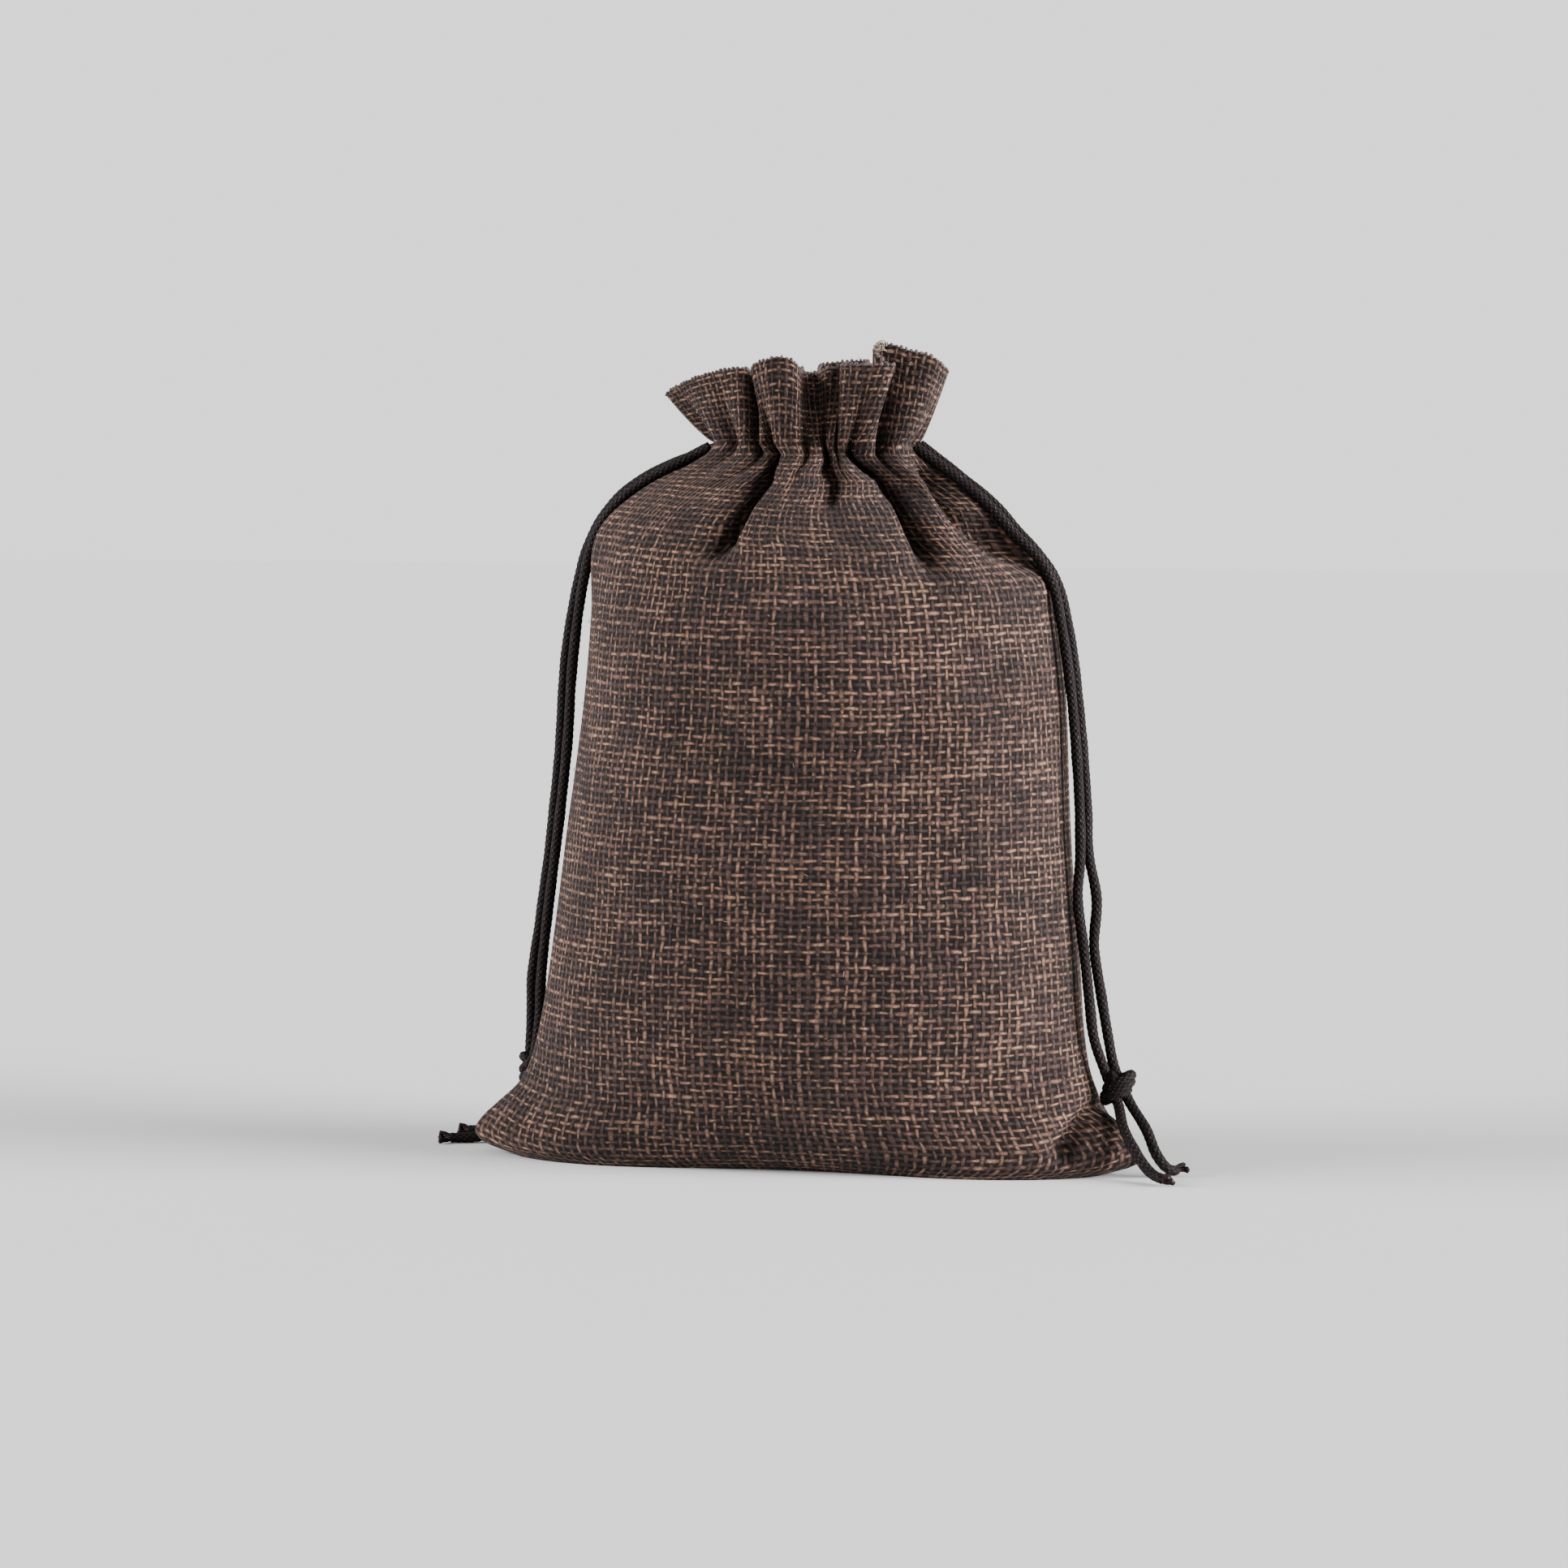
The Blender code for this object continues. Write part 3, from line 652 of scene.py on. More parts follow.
def weave_nodes(desk: NodeDesk, given: bpy.types.NodeOutputs) -> Sockets:
    """Lay an open plain weave of uneven yarns that follows the cloth.

    Args:
        desk: the group's desk.
        given: the group's inputs.

    Returns:
        The weave's colour, with painted shade in the holes and low spots and painted highlights along the
        yarns' tops, and how high it stands, from 0 in the holes to 1.
    """
    # The last two are how strongly pale fibres show as a painted highlight along the top of an upright and of a
    # level yarn.
    tremble_share, swing_share, warp_highlight, weft_highlight = 0.3, 0.36, 0.68, 1.0
    # How many features a millimetre of cloth has of the yarns' drift and tremble and of the paler patches.
    drift_scale, tremble_scale, patch_scale = 0.11, 0.42, 0.09
    cloth = given["Cloth"]
    place = desk.add("ShaderNodeSeparateXYZ", {0: cloth}).outputs
    shift, tremble = desk.noises(cloth, drift_scale, 1.0), desk.noises(cloth, tremble_scale, 0.0)
    pitches = (given["Warp Pitch"], given["Weft Pitch"])
    lines = []
    for axis in (0, 1):
        wobble = desk.sway(tremble[axis], tremble_share, desk.sway(shift[axis], given["Waver"]))
        lines.append(desk.math("ADD", desk.math("DIVIDE", place[axis], pitches[axis]), wobble))
    patch = desk.remap(desk.noise(cloth, patch_scale, 1.0), 0.3, 0.7, -0.06, 0.06)
    amount = desk.math("ADD", given["Pale Amount"], patch)
    heights, dashes, tones = [], [], []
    sets = ((0, 3.7, swing_share, warp_highlight), (1, 88.1, -swing_share, weft_highlight))
    for axis, seed, swing_way, highlight_top in sets:
        across, along = lines[axis], lines[1 - axis]
        lane = desk.math("FLOOR", across)
        offset = desk.math("SUBTRACT", desk.math("FRACT", across), 0.5)
        drawn_out = desk.math("MULTIPLY", along, 0.35)
        slub_place = desk.vector(desk.math("MULTIPLY_ADD", lane, 5.3, seed), drawn_out)
        slub = desk.remap(desk.noise(slub_place, 1.0, 0.0), 0.25, 0.75, 0.78, 1.28)
        half = desk.math("MULTIPLY", desk.math("DIVIDE", given["Yarn Half Width"], pitches[axis]), slub)
        ratio = desk.math("DIVIDE", offset, half)
        rest = desk.math("SUBTRACT", 1.0, desk.math("MULTIPLY", ratio, ratio), clamp=True)
        round_top = desk.math("SQRT", rest)
        phase = desk.math("SUBTRACT", desk.math("SUBTRACT", along, 0.5), lane)
        swing = desk.math("COSINE", desk.math("MULTIPLY", phase, math.pi))
        lift = desk.math("MULTIPLY_ADD", swing, swing_way, 1.0 - swing_share)
        heights.append(desk.math("MULTIPLY", round_top, lift))
        strewn = {"Yarn": lane, "Along": along, "Amount": amount, "Seed": seed}
        fibres = desk.add("ShaderNodeGroup", strewn, node_tree=PALE_FIBRES.tree()).outputs
        # Painted highlight: the pale fibres show only in a thin line along the top of each yarn, where light
        # catches it.
        crest_highlight = desk.remap(round_top, 0.76, 0.98, 0.0, highlight_top)
        dashes.append(desk.math("MULTIPLY", fibres["Dash"], crest_highlight))
        tones.append(fibres["Tone"])
    height = desk.math("MAXIMUM", *heights)
    warp_on_top = desk.math("GREATER_THAN", *heights)
    dash = desk.mix(warp_on_top, dashes[1], dashes[0])
    body = desk.mix(desk.mix(warp_on_top, tones[1], tones[0]), given["Dark"], given["Middle"])
    # Painted shade: the colour darkens towards the holes and low spots of the weave and brightens on the yarns'
    # tops.
    shade = desk.remap(height, 0.02, 0.95, 0.16, 1.18)
    return {"Colour": desk.shaded(desk.mix(dash, body, given["Pale"]), shade), "Height": height}


def braid_nodes(desk: NodeDesk, given: bpy.types.NodeOutputs) -> Sockets:
    """Cross a round braid's strands over and under along a cord.

    Args:
        desk: the group's desk.
        given: the group's inputs.

    Returns:
        How high the braid stands, from 0 in its grooves to 1.
    """
    turn = desk.math("MULTIPLY", desk.math("MULTIPLY", given["Around"], given["Strands"]), FULL_TURN)
    twist = desk.math("MULTIPLY", desk.math("DIVIDE", given["Along"], given["Lay Length"]), FULL_TURN)
    over = desk.math("COSINE", turn)
    rises = []
    for way, swing in (("ADD", OVER_SWING), ("SUBTRACT", -OVER_SWING)):
        half_turn = desk.math("MULTIPLY", desk.math(way, turn, twist), 0.5)
        wave = desk.math("ABSOLUTE", desk.math("COSINE", half_turn))
        rises.append(desk.math("MULTIPLY", wave, desk.math("MULTIPLY_ADD", over, swing, 1.0 - OVER_SWING)))
    return {"Height": desk.math("MAXIMUM", *rises)}


PALE_FIBRES = ShaderGroup(
    "pale fibres",
    {"Yarn": 0.0, "Along": 0.0, "Amount": 0.5, "Seed": 0.0},
    {"Dash": "NodeSocketFloat", "Tone": "NodeSocketFloat"},
    fibre_nodes,
)
WEAVE = ShaderGroup(
    "plain weave",
    {
        "Cloth": None, "Warp Pitch": 1.7, "Weft Pitch": 1.45, "Yarn Half Width": 0.43, "Waver": 0.8,
        "Pale Amount": 0.5, "Dark": (0.03, 0.02, 0.02, 1.0), "Middle": (0.1, 0.06, 0.05, 1.0),
        "Pale": (0.4, 0.28, 0.2, 1.0),
    },
    {"Colour": "NodeSocketColor", "Height": "NodeSocketFloat"},
    weave_nodes,
)
BRAID = ShaderGroup(
    "round braid",
    {"Around": 0.0, "Along": 0.0, "Lay Length": 1.9, "Strands": 4.0},
    {"Height": "NodeSocketFloat"},
    braid_nodes,
)


@dataclass(frozen=True)
class Finish:
    """What a piece is dressed in. Each of the finishes says what goes into its Principled shader."""

    name: str

    def inputs(self, desk: NodeDesk) -> dict[str, object]:
        """Return the shader's inputs, made on its material's desk."""
        raise NotImplementedError

    def material(self) -> bpy.types.Material:
        """Build the finish's material.

        Returns:
            The material.
        """
        material = bpy.data.materials.new(self.name)
        material.use_nodes = True
        desk = NodeDesk(material.node_tree)
        desk.fill(material.node_tree.nodes["Principled BSDF"], self.inputs(desk))
        return material


@dataclass(frozen=True)
class BurlapFinish(Finish):
    """The brown cloth: an open plain weave of dark yarn with pale fibres spun in, its colour carrying painted
    shade in the weave's holes and painted highlights along the yarns' tops.
    """

    name: str = "brown burlap"
    warp_pitch: float = GIRTH / WARP_YARNS
    weft_pitch: float = 1.44
    yarn_half_width: float = 0.43
    pale_amount: float = 0.50
    waver: float = 0.5
    # dark and middle are the yarn's own tones; pale is the colour of the pale fibres, which show only along the
    # yarns' tops as a painted highlight.
    dark: Colour = (0.0205, 0.0130, 0.0120, 1.0)
    middle: Colour = (0.053, 0.0298, 0.0252, 1.0)
    pale: Colour = (0.162, 0.0910, 0.0590, 1.0)
    relief: float = 0.00030
    patches_per_metre: float = 34.0
    hairs_per_mm: float = 2.4
    hair_height: float = 0.22

    def inputs(self, desk: NodeDesk) -> dict[str, object]:
        """Return the inputs of the cloth's shader, made on its material's desk.

        Args:
            desk: the desk.

        Returns:
            What goes into each input.
        """
        cloth = desk.cloth_place()
        set_to = {
            "Cloth": cloth, "Warp Pitch": self.warp_pitch, "Weft Pitch": self.weft_pitch,
            "Yarn Half Width": self.yarn_half_width, "Waver": self.waver, "Pale Amount": self.pale_amount,
            "Dark": self.dark, "Middle": self.middle, "Pale": self.pale,
        }
        weave = desk.add("ShaderNodeGroup", set_to, node_tree=WEAVE.tree()).outputs
        patch = desk.remap(desk.noise(desk.object_place(), self.patches_per_metre, 2.0), 0.3, 0.7, 0.86, 1.12)
        hairs = desk.noise(cloth, self.hairs_per_mm, 2.0)
        shade = desk.math("MULTIPLY", patch, desk.remap(hairs, 0.3, 0.7, 0.62, 1.42))
        rough_top = desk.math("MULTIPLY_ADD", hairs, self.hair_height, weave["Height"])
        return {
            "Base Color": desk.shaded(weave["Colour"], shade),
            "Roughness": desk.remap(hairs, 0.3, 0.7, 0.82, 0.97),
            "Normal": desk.bump(rough_top, self.relief),
            "Sheen Weight": 0.015,
            "Sheen Roughness": 0.5,
            "Specular IOR Level": 0.12,
        }


@dataclass(frozen=True)
class BraidFinish(Finish):
    """The drawstrings' finish: near-black braided yarn, its colour painted lighter on the strands' tops and
    darker in the grooves, with painted glints on the tops.
    """

    name: str = "dark braid"
    lay_length: float = 1.25
    strands: float = 6.0
    # dark is painted shade in the braid's grooves and light is painted light on the strands' tops.
    dark: Colour = (0.0032, 0.0019, 0.0021, 1.0)
    light: Colour = (0.0150, 0.0085, 0.0088, 1.0)
    # pale is the colour of the painted glints.
    pale: Colour = (0.085, 0.060, 0.058, 1.0)
    relief: float = 0.00012
    threads_around: float = 9.0
    glints_around: float = 6.3

    def inputs(self, desk: NodeDesk) -> dict[str, object]:
        """Return the inputs of the cords' shader, made on its material's desk.

        Args:
            desk: the desk.

        Returns:
            What goes into each input.
        """
        around, along, _ = desk.add("ShaderNodeSeparateXYZ", {0: desk.cloth_place()}).outputs
        threads, glint_specks = (
            desk.noise(desk.vector(desk.math("MULTIPLY", around, count), along), scale, detail)
            for count, scale, detail in ((self.threads_around, 3.0, 2.0), (self.glints_around, 2.6, 0.0))
        )
        laid = {"Around": around, "Along": along, "Lay Length": self.lay_length, "Strands": self.strands}
        braid = desk.add("ShaderNodeGroup", laid, node_tree=BRAID.tree()).outputs["Height"]
        raised = desk.sway(threads, 0.5, braid)
        # Painted light and shade: raised strands are coloured lighter, grooves darker.
        body = desk.mix(desk.remap(raised, 0.62, 1.02), self.dark, self.light)
        # Painted glints: pale specks on the highest tops of the strands.
        glint = desk.math("MULTIPLY", desk.remap(glint_specks, 0.55, 0.7), desk.remap(raised, 0.75, 1.05, 0.0, 0.8))
        return {
            "Base Color": desk.mix(glint, body, self.pale),
            "Roughness": desk.remap(threads, 0.3, 0.7, 0.62, 0.85),
            "Normal": desk.bump(raised, self.relief, 0.8),
            "Specular IOR Level": 0.10,
        }


@dataclass(frozen=True)
class FibreFinish(Finish):
    """The stray hairs' finish: pale and dark fibres side by side."""

    name: str = "loose fibre"
    dark: Colour = (0.06, 0.04, 0.035, 1.0)
    pale: Colour = (0.20, 0.125, 0.095, 1.0)
    relief: float = 0.00002
    tones_per_metre: float = 900.0
    grains_per_metre: float = 4000.0

    def inputs(self, desk: NodeDesk) -> dict[str, object]:
        """Return the inputs of the hairs' shader, made on its material's desk.

        Args:
            desk: the desk.

        Returns:
            What goes into each input.
        """
        place = desk.object_place()
        tone = desk.remap(desk.noise(place, self.tones_per_metre), 0.42, 0.62)
        return {
            "Base Color": desk.mix(tone, self.dark, self.pale),
            "Roughness": desk.remap(tone, 0.0, 1.0, 0.7, 0.9),
            "Normal": desk.bump(desk.noise(place, self.grains_per_metre), self.relief),
        }


@dataclass(frozen=True)
class FloorFinish(Finish):
    """The plain pale floor, with the faintest mottling."""

    name: str = "pale floor"
    colour: Colour = (0.555, 0.555, 0.555, 1.0)

    def inputs(self, desk: NodeDesk) -> dict[str, object]:
        """Return the inputs of the floor's shader, made on its material's desk."""
        mottle = desk.remap(desk.noise(desk.object_place(), 6.0, 2.0), 0.3, 0.7, 0.9, 1.0)
        return {"Base Color": self.colour, "Roughness": mottle, "Specular IOR Level": 0.0}


@dataclass(frozen=True)
class SoftLight:
    """A broad, distant light that lights the floor evenly up to the horizon. Angles are in degrees."""

    name: str
    azimuth: float
    elevation: float
    strength: float
    spread: float = 38.0

    def build(self) -> None:
        """Hang the light."""
        data = bpy.data.lights.new(self.name, "SUN")
        data.energy, data.angle = self.strength, math.radians(self.spread)
        aim(link(self.name, data), self.azimuth, self.elevation, 1.0, Vector())


@dataclass
class Studio:
    """The camera at the photograph's angle, a pale floor and soft lights at both sides."""

    azimuth: float = 14.0
    elevation: float = 4.5
    distance: float = 1.0
    lens: float = 119.6
    target: Place = (-0.0064, 0.0, 0.0716)
    floor_half: float = 3000.0
    soft_lights: tuple[SoftLight, ...] = (
        SoftLight("right light", 88.0, 11.0, 19.0),
        SoftLight("left light", -70.0, 17.0, 9.0),
    )
    world_strength: float = 0.62
    seen_world_strength: float = 1.55

    def camera(self) -> None:
        """Set up the camera."""
        data = bpy.data.cameras.new("camera")
        data.lens = self.lens
        data.sensor_width = 36.0
        data.sensor_fit = "HORIZONTAL"
        data.clip_start = 0.01
        made = link("camera", data)
        aim(made, self.azimuth, self.elevation, self.distance, Vector(self.target))
        bpy.context.scene.camera = made

    def lights(self) -> None:
        """Hang the soft lights and fill the world with plain white light."""
        for light in self.soft_lights:
            light.build()
        world = bpy.data.worlds.new("studio")
        world.use_nodes = True
        desk = NodeDesk(world.node_tree)
        seen = desk.add("ShaderNodeLightPath").outputs["Is Camera Ray"]
        extra = self.seen_world_strength - self.world_strength
        strength = desk.math("MULTIPLY_ADD", seen, extra, self.world_strength)
        desk.fill(world.node_tree.nodes["Background"], {0: (1.0, 1.0, 1.0, 1.0), 1: strength})
        bpy.context.scene.world = world

    def floor(self) -> None:
        """Lay the floor."""
        corners = np.array([(-1.0, -1.0, 0.0), (1.0, -1.0, 0.0), (1.0, 1.0, 0.0), (-1.0, 1.0, 0.0)])
        patch = (corners * self.floor_half, [[0, 1, 2, 3]], None)
        make_mesh("floor", patch, FloorFinish().material())


@dataclass
class RuffleRim:
    """The edge of the ruffle: a closed line through the crests and valleys of its folds."""

    centre: float = -2.4
    half_width: float = 27.6
    half_depth: float = 14.2
    samples: int = 2400
    rounding: int = 8
    passes: int = 2

    def ring(self, shares: np.ndarray) -> np.ndarray:
        """Read the rim.

        Args:
            shares: shares of the way round, where 0.5 is the right tip.

        Returns:
            One point for each share.
        """
        even = read_along(close_ring(curve_through(RIM, closed=True)), np.arange(self.samples) / self.samples)
        for _ in range(self.passes):
            even = evened(even, self.rounding)
        tip = int(np.argmax(even[:, 0]))
        return read_halves(even[: tip + 1], np.concatenate((even[tip:], even[:1])), shares)

    def inward(self, ring: np.ndarray) -> np.ndarray:
        """Return how far into the rim's oval each of its points is folded, from 0 at the oval to 1 inside."""
        out = np.hypot((ring[:, 0] - self.centre) / self.half_width, ring[:, 1] / self.half_depth)
        return evened(np.clip(1.0 - out, 0.0, None), 5)


@dataclass
class SackCloth:
    """The cloth: stuffed body, drawn neck and open ruffle, in one closed skin with its own weave."""

    columns: int = 576
    body_rings: int = 118
    base_rings: int = 7
    ruffle_rings: int = 26
    inside_rings: int = 12
    floor_rings: int = 4
    base_lift: float = 0.35
    neck_height: float = 137.0
    neck_centre: float = -0.1
    neck_half_width: float = 20.4
    neck_half_depth: float = 10.4
    neck_fold_share: float = 0.30
    pleats: int = 20
    pleat_depth: float = 4.0
    pleat_reach: float = 11.0
    gather_reach: float = 48.0
    rim_pull: float = 0.25
    pull_evening: int = 31
    shoulder_swell: float = 1.3
    shoulder_height: float = 104.0
    dent_depth: float = 0.42
    crease_take_up: float = 0.3
    least_run: float = 0.3
    cord_room: float = 1.14
    arch_sharpness: float = 6.0
    throat_height: float = 143.0
    throat_floor: float = 141.2
    throat_half_width: float = 12.0
    throat_half_depth: float = 3.0
    flare: float = 0.8
    cloth_thickness: float = 0.75
    corner_shrink: float = 0.7
    datum: float = 64.0
    level_pull: float = 0.15
    height_smoothing: int = 12
    ruffle_cloth: float = 17.5
    body_fray: float = 0.05
    # The rings that round the edge over: shares of the cloth's thickness, and how far each is lowered.
    edge_roll: tuple[tuple[float, float], ...] = (
        (0.0, 0.3), (0.22, 0.06), (0.5, 0.0), (0.78, 0.06), (1.0, 0.3),
    )

    @cached_property
    def shares(self) -> np.ndarray:
        """Return each column's share of the way round, where 0.5 is the right seam."""
        return np.arange(self.columns) / self.columns

    @cached_property
    def seam_room(self) -> np.ndarray:
        """Return 0 at the side seams, where the cords lie on the cloth, and 1 away from them."""
        return ease((np.abs(np.sin(FULL_TURN * self.shares)) - 0.06) / 0.3)

    @cached_property
    def rim(self) -> np.ndarray:
        """Return the ruffle's rim, with a point for each column."""
        return RuffleRim().ring(self.shares)

    @cached_property
    def cord_lines(self) -> np.ndarray:
        """Return close points on all the cords' centrelines."""
        return np.concatenate([even_path(BraidedCord(side).route(), 0.4) for side in STRANDS])

    def section_rows(self, heights: np.ndarray) -> dict[str, np.ndarray]:
        """Read the section table on smooth curves that never overshoot its rows.

        Args:
            heights: the heights wanted.

        Returns:
            The table's columns at those heights.
        """
        known = np.array([section.height for section in SECTIONS])
        steps = np.diff(known)
        index = np.clip(np.searchsorted(known, heights, side="right") - 1, 0, len(known) - 2)
        step = steps[index]
        share = (heights - known[index]) / step
        square, cube = share**2, share**3
        found = {}
        for name in ("left", "right", "seam_y", "front", "back", "point", "arch"):
            values = np.array([getattr(section, name) for section in SECTIONS])
            rises = np.diff(values) / steps
            slopes = np.zeros(len(known))
            slopes[0], slopes[-1] = rises[0], rises[-1]
            product = rises[:-1] * rises[1:]
            with np.errstate(divide="ignore", invalid="ignore"):
                harmonic = 2.0 * product / (rises[:-1] + rises[1:])
            slopes[1:-1] = np.where(product > 0.0, harmonic, 0.0)
            found[name] = (
                values[index] * (2 * cube - 3 * square + 1)
                + values[index + 1] * (3 * square - 2 * cube)
                + slopes[index] * step * (cube - 2 * square + share)
                + slopes[index + 1] * step * (cube - square)
            )
        return found

    def section_ring(self, height: float, shares: np.ndarray) -> np.ndarray:
        """Return the body's smooth level section.

        Args:
            height: its height.
            shares: where on it the points go, as shares of the way round.

        Returns:
            One point for each share.
        """
        row = {name: float(values[0]) for name, values in self.section_rows(np.array([height])).items()}
        centre, half = 0.5 * (row["left"] + row["right"]), 0.5 * (row["right"] - row["left"])
        angle = np.linspace(0.0, math.pi, 361)
        rise = np.clip(np.sin(angle), 0.0, None)
        bulge = rise ** row["point"] * (1.0 - row["arch"] * rise**self.arch_sharpness)
        halves = []
        for belly, turn in ((row["front"], 1.0), (row["back"], -1.0)):
            across = centre - turn * half * np.cos(angle)
            along = row["seam_y"] + (belly - row["seam_y"]) * bulge
            halves.append(np.stack((across, along, np.full_like(angle, height)), axis=1))
        return read_halves(*halves, shares)

    @cached_property
    def body_heights(self) -> np.ndarray:
        """Spread the body's rings evenly along the cloth.

        Returns:
            Their heights.
        """
        dense = np.linspace(0.0, SECTIONS[-1].height, 1600)
        rows = self.section_rows(dense)
        side, belly = np.diff(rows["right"]), np.diff(rows["front"])
        steps = np.sqrt(np.diff(dense) ** 2 + 0.5 * side**2 + 0.5 * belly**2)
        reached = np.concatenate(([0.0], np.cumsum(steps)))
        return np.interp(np.linspace(0.0, reached[-1], self.body_rings), reached, dense)

    @cached_property
    def pleat_pattern(self) -> tuple[np.ndarray, np.ndarray]:
        """Draw the neck's pleats, uneven in width, depth and reach as hand-drawn ones are.

        Returns:
            How deep each column lies, 0 on a ridge and about 1 in a groove, and how far below the neck its
            groove runs.
        """
        turn = FULL_TURN * self.shares
        phase = self.pleats * turn + 1.5 * np.sin(3 * turn + 0.6) + 0.9 * np.sin(5 * turn + 2.1) + 2.2
        groove = 1.0 - np.sqrt(np.sin(0.5 * phase) ** 2 + 0.01)
        depth = 0.85 + 0.22 * np.sin(7 * turn + 1.0) + 0.13 * np.sin(11 * turn + 2.4)
        reach = self.pleat_reach * (1.0 + 0.35 * np.sin(8 * turn + 0.4) + 0.2 * np.sin(13 * turn))
        return groove * depth, reach * (0.55 + 0.45 * self.seam_room)

    @cached_property
    def drawn(self) -> np.ndarray:
        """Find where round the neck each column is drawn to, partly under its place on the rim.

        Returns:
            Shares of the neck's length, which never run backwards.
        """
        shares, half, edge = self.shares, self.columns // 2, RuffleRim()
        neck = self.smooth_neck(shares)
        narrowed = (self.neck_half_width + 0.1) / edge.half_width
        wanted = (self.rim[:, 0] - edge.centre) * narrowed + self.neck_centre
        front = np.interp(np.maximum.accumulate(wanted[:half]), neck[:half, 0], shares[:half])
        back = np.interp(-np.minimum.accumulate(wanted[half:]), -neck[half:, 0], shares[half:])
        target = np.concatenate((front, back))
        drawn = shares + (target - shares) * (self.rim_pull * self.seam_room)
        wrap = self.pull_evening
        padded = np.concatenate((drawn[-wrap:] - 1.0, drawn, drawn[:wrap] + 1.0))
        drawn = np.convolve(padded, np.ones(wrap) / wrap, mode="same")[wrap:-wrap]
        return np.clip(np.maximum.accumulate(drawn), 0.0, 0.99999)

    def smooth_neck(self, shares: np.ndarray) -> np.ndarray:
        """Read the drawn neck's ellipse.

        Args:
            shares: shares of its length.

        Returns:
            One point for each share.
        """
        angle = np.linspace(0.0, FULL_TURN, 1441)
        across = self.neck_centre - self.neck_half_width * np.cos(angle)
        level = np.full_like(angle, self.neck_height)
        return read_along(np.stack((across, -self.neck_half_depth * np.sin(angle), level), axis=1), shares)

    def outward(self, ring: np.ndarray) -> np.ndarray:
        """Find the level directions that point out of a ring.

        Args:
            ring: the ring.

        Returns:
            One direction for each of its points.
        """
        ahead = np.roll(ring, -1, axis=0) - np.roll(ring, 1, axis=0)
        way = np.stack((ahead[:, 1], -ahead[:, 0], np.zeros(len(ring))), axis=1)
        return way / np.maximum(np.linalg.norm(way, axis=1, keepdims=True), 1e-9)

    def crease_depth(self, ring: np.ndarray) -> np.ndarray:
        """Return how far the creases sink the body at each point of a ring, below 0 on a lip."""
        sunk, lifted = zip(*(crease.sink(ring) for crease in CREASES))
        return np.maximum.reduce(sunk) - np.maximum.reduce(lifted)

    def dents(self, ring: np.ndarray) -> np.ndarray:
        """Return the slight unevenness of the stuffing, inwards only.

        Args:
            ring: points of the smooth body.

        Returns:
            The depth at each point.
        """
        x, y, z = ring.T
        wave = (
            np.sin(0.105 * x + 0.06 * z + 1.0) * np.sin(0.071 * z - 0.04 * x + 0.05 * y)
            + 0.55 * np.sin(0.21 * x - 0.13 * z + 0.17 * y) * np.sin(0.19 * z + 0.08 * x + 2.0)
            + 0.22 * np.sin(0.47 * x + 0.22 * y + 0.3) * np.sin(0.39 * z - 0.1 * x)
        )
        return self.dent_depth * (1.2 + wave) * ease(z / 12.0)

    @cached_property
    def neck(self) -> np.ndarray:
        """Draw the neck in, pleated, and pulled in further under the rim's valleys.

        Returns:
            One point for each column.
        """
        folded = self.neck_fold_share * RuffleRim().inward(self.rim) * self.neck_half_depth
        sunk = self.pleat_depth * self.pleat_pattern[0] + folded
        return self.sunk_ring(self.smooth_neck(self.drawn), sunk, sunk)

    def sunk_ring(self, ring: np.ndarray, depth: np.ndarray, taken: np.ndarray) -> np.ndarray:
        """Sink grooves into a ring so that its cloth keeps one width over ridges and grooves alike.

        Args:
            ring: the smooth ring.
            depth: how deep each column sinks.
            taken: the share of that depth which takes up cloth from beside it.

        Returns:
            The sunk ring.
        """
        count, closed, way = len(ring), close_ring(ring), self.outward(ring)
        girth = path_length(closed)
        slope = (np.roll(taken, -1) - np.roll(taken, 1)) * 0.5 * count
        least = (self.least_run * girth) ** 2
        low, high = girth, 4.0 * girth + np.abs(slope).max()
        for _ in range(36):
            middle = 0.5 * (low + high)
            reach = np.sqrt(np.clip(middle**2 - slope**2, least, None)).mean()
            low, high = (middle, high) if reach < girth else (low, middle)
        advance = np.sqrt(np.clip(high**2 - slope**2, least, None))
        reached = np.concatenate(([0.0], np.cumsum(0.5 * (advance + np.roll(advance, -1)))))
        half = count // 2
        first = reached[: half + 1] / reached[half] * half
        second = half + (reached[half:-1] - reached[half]) / (reached[-1] - reached[half]) * (count - half)
        placed = np.concatenate((first[:-1], second))
        index = np.arange(count + 1)
        return read_rows(placed, index, closed) - read_rows(placed, index, close_ring(way)) * depth[:, None]

    def body_ring(self, height: float) -> np.ndarray:
        """Return a level ring of the body, creased, with the neck's pleats running down into it.

        Args:
            height: the ring's height.

        Returns:
            One point for each column.
        """
        below = self.neck_height - height
        near = float(ease(1.0 - below / self.gather_reach))
        smooth = self.section_ring(height, self.shares + (self.drawn - self.shares) * near)
        groove, reach = self.pleat_pattern
        pleat = self.pleat_depth * groove * ease(1.0 - below / reach)
        rise = float(ease((height - self.shoulder_height) / 14.0))
        swell = self.shoulder_swell * np.exp(-((smooth[:, 1] / 10.0) ** 4)) * rise
        crease = self.crease_depth(smooth)
        even = self.dents(smooth) * self.seam_room + pleat - swell
        return self.under_cords(self.sunk_ring(smooth, even + crease, even + self.crease_take_up * crease))

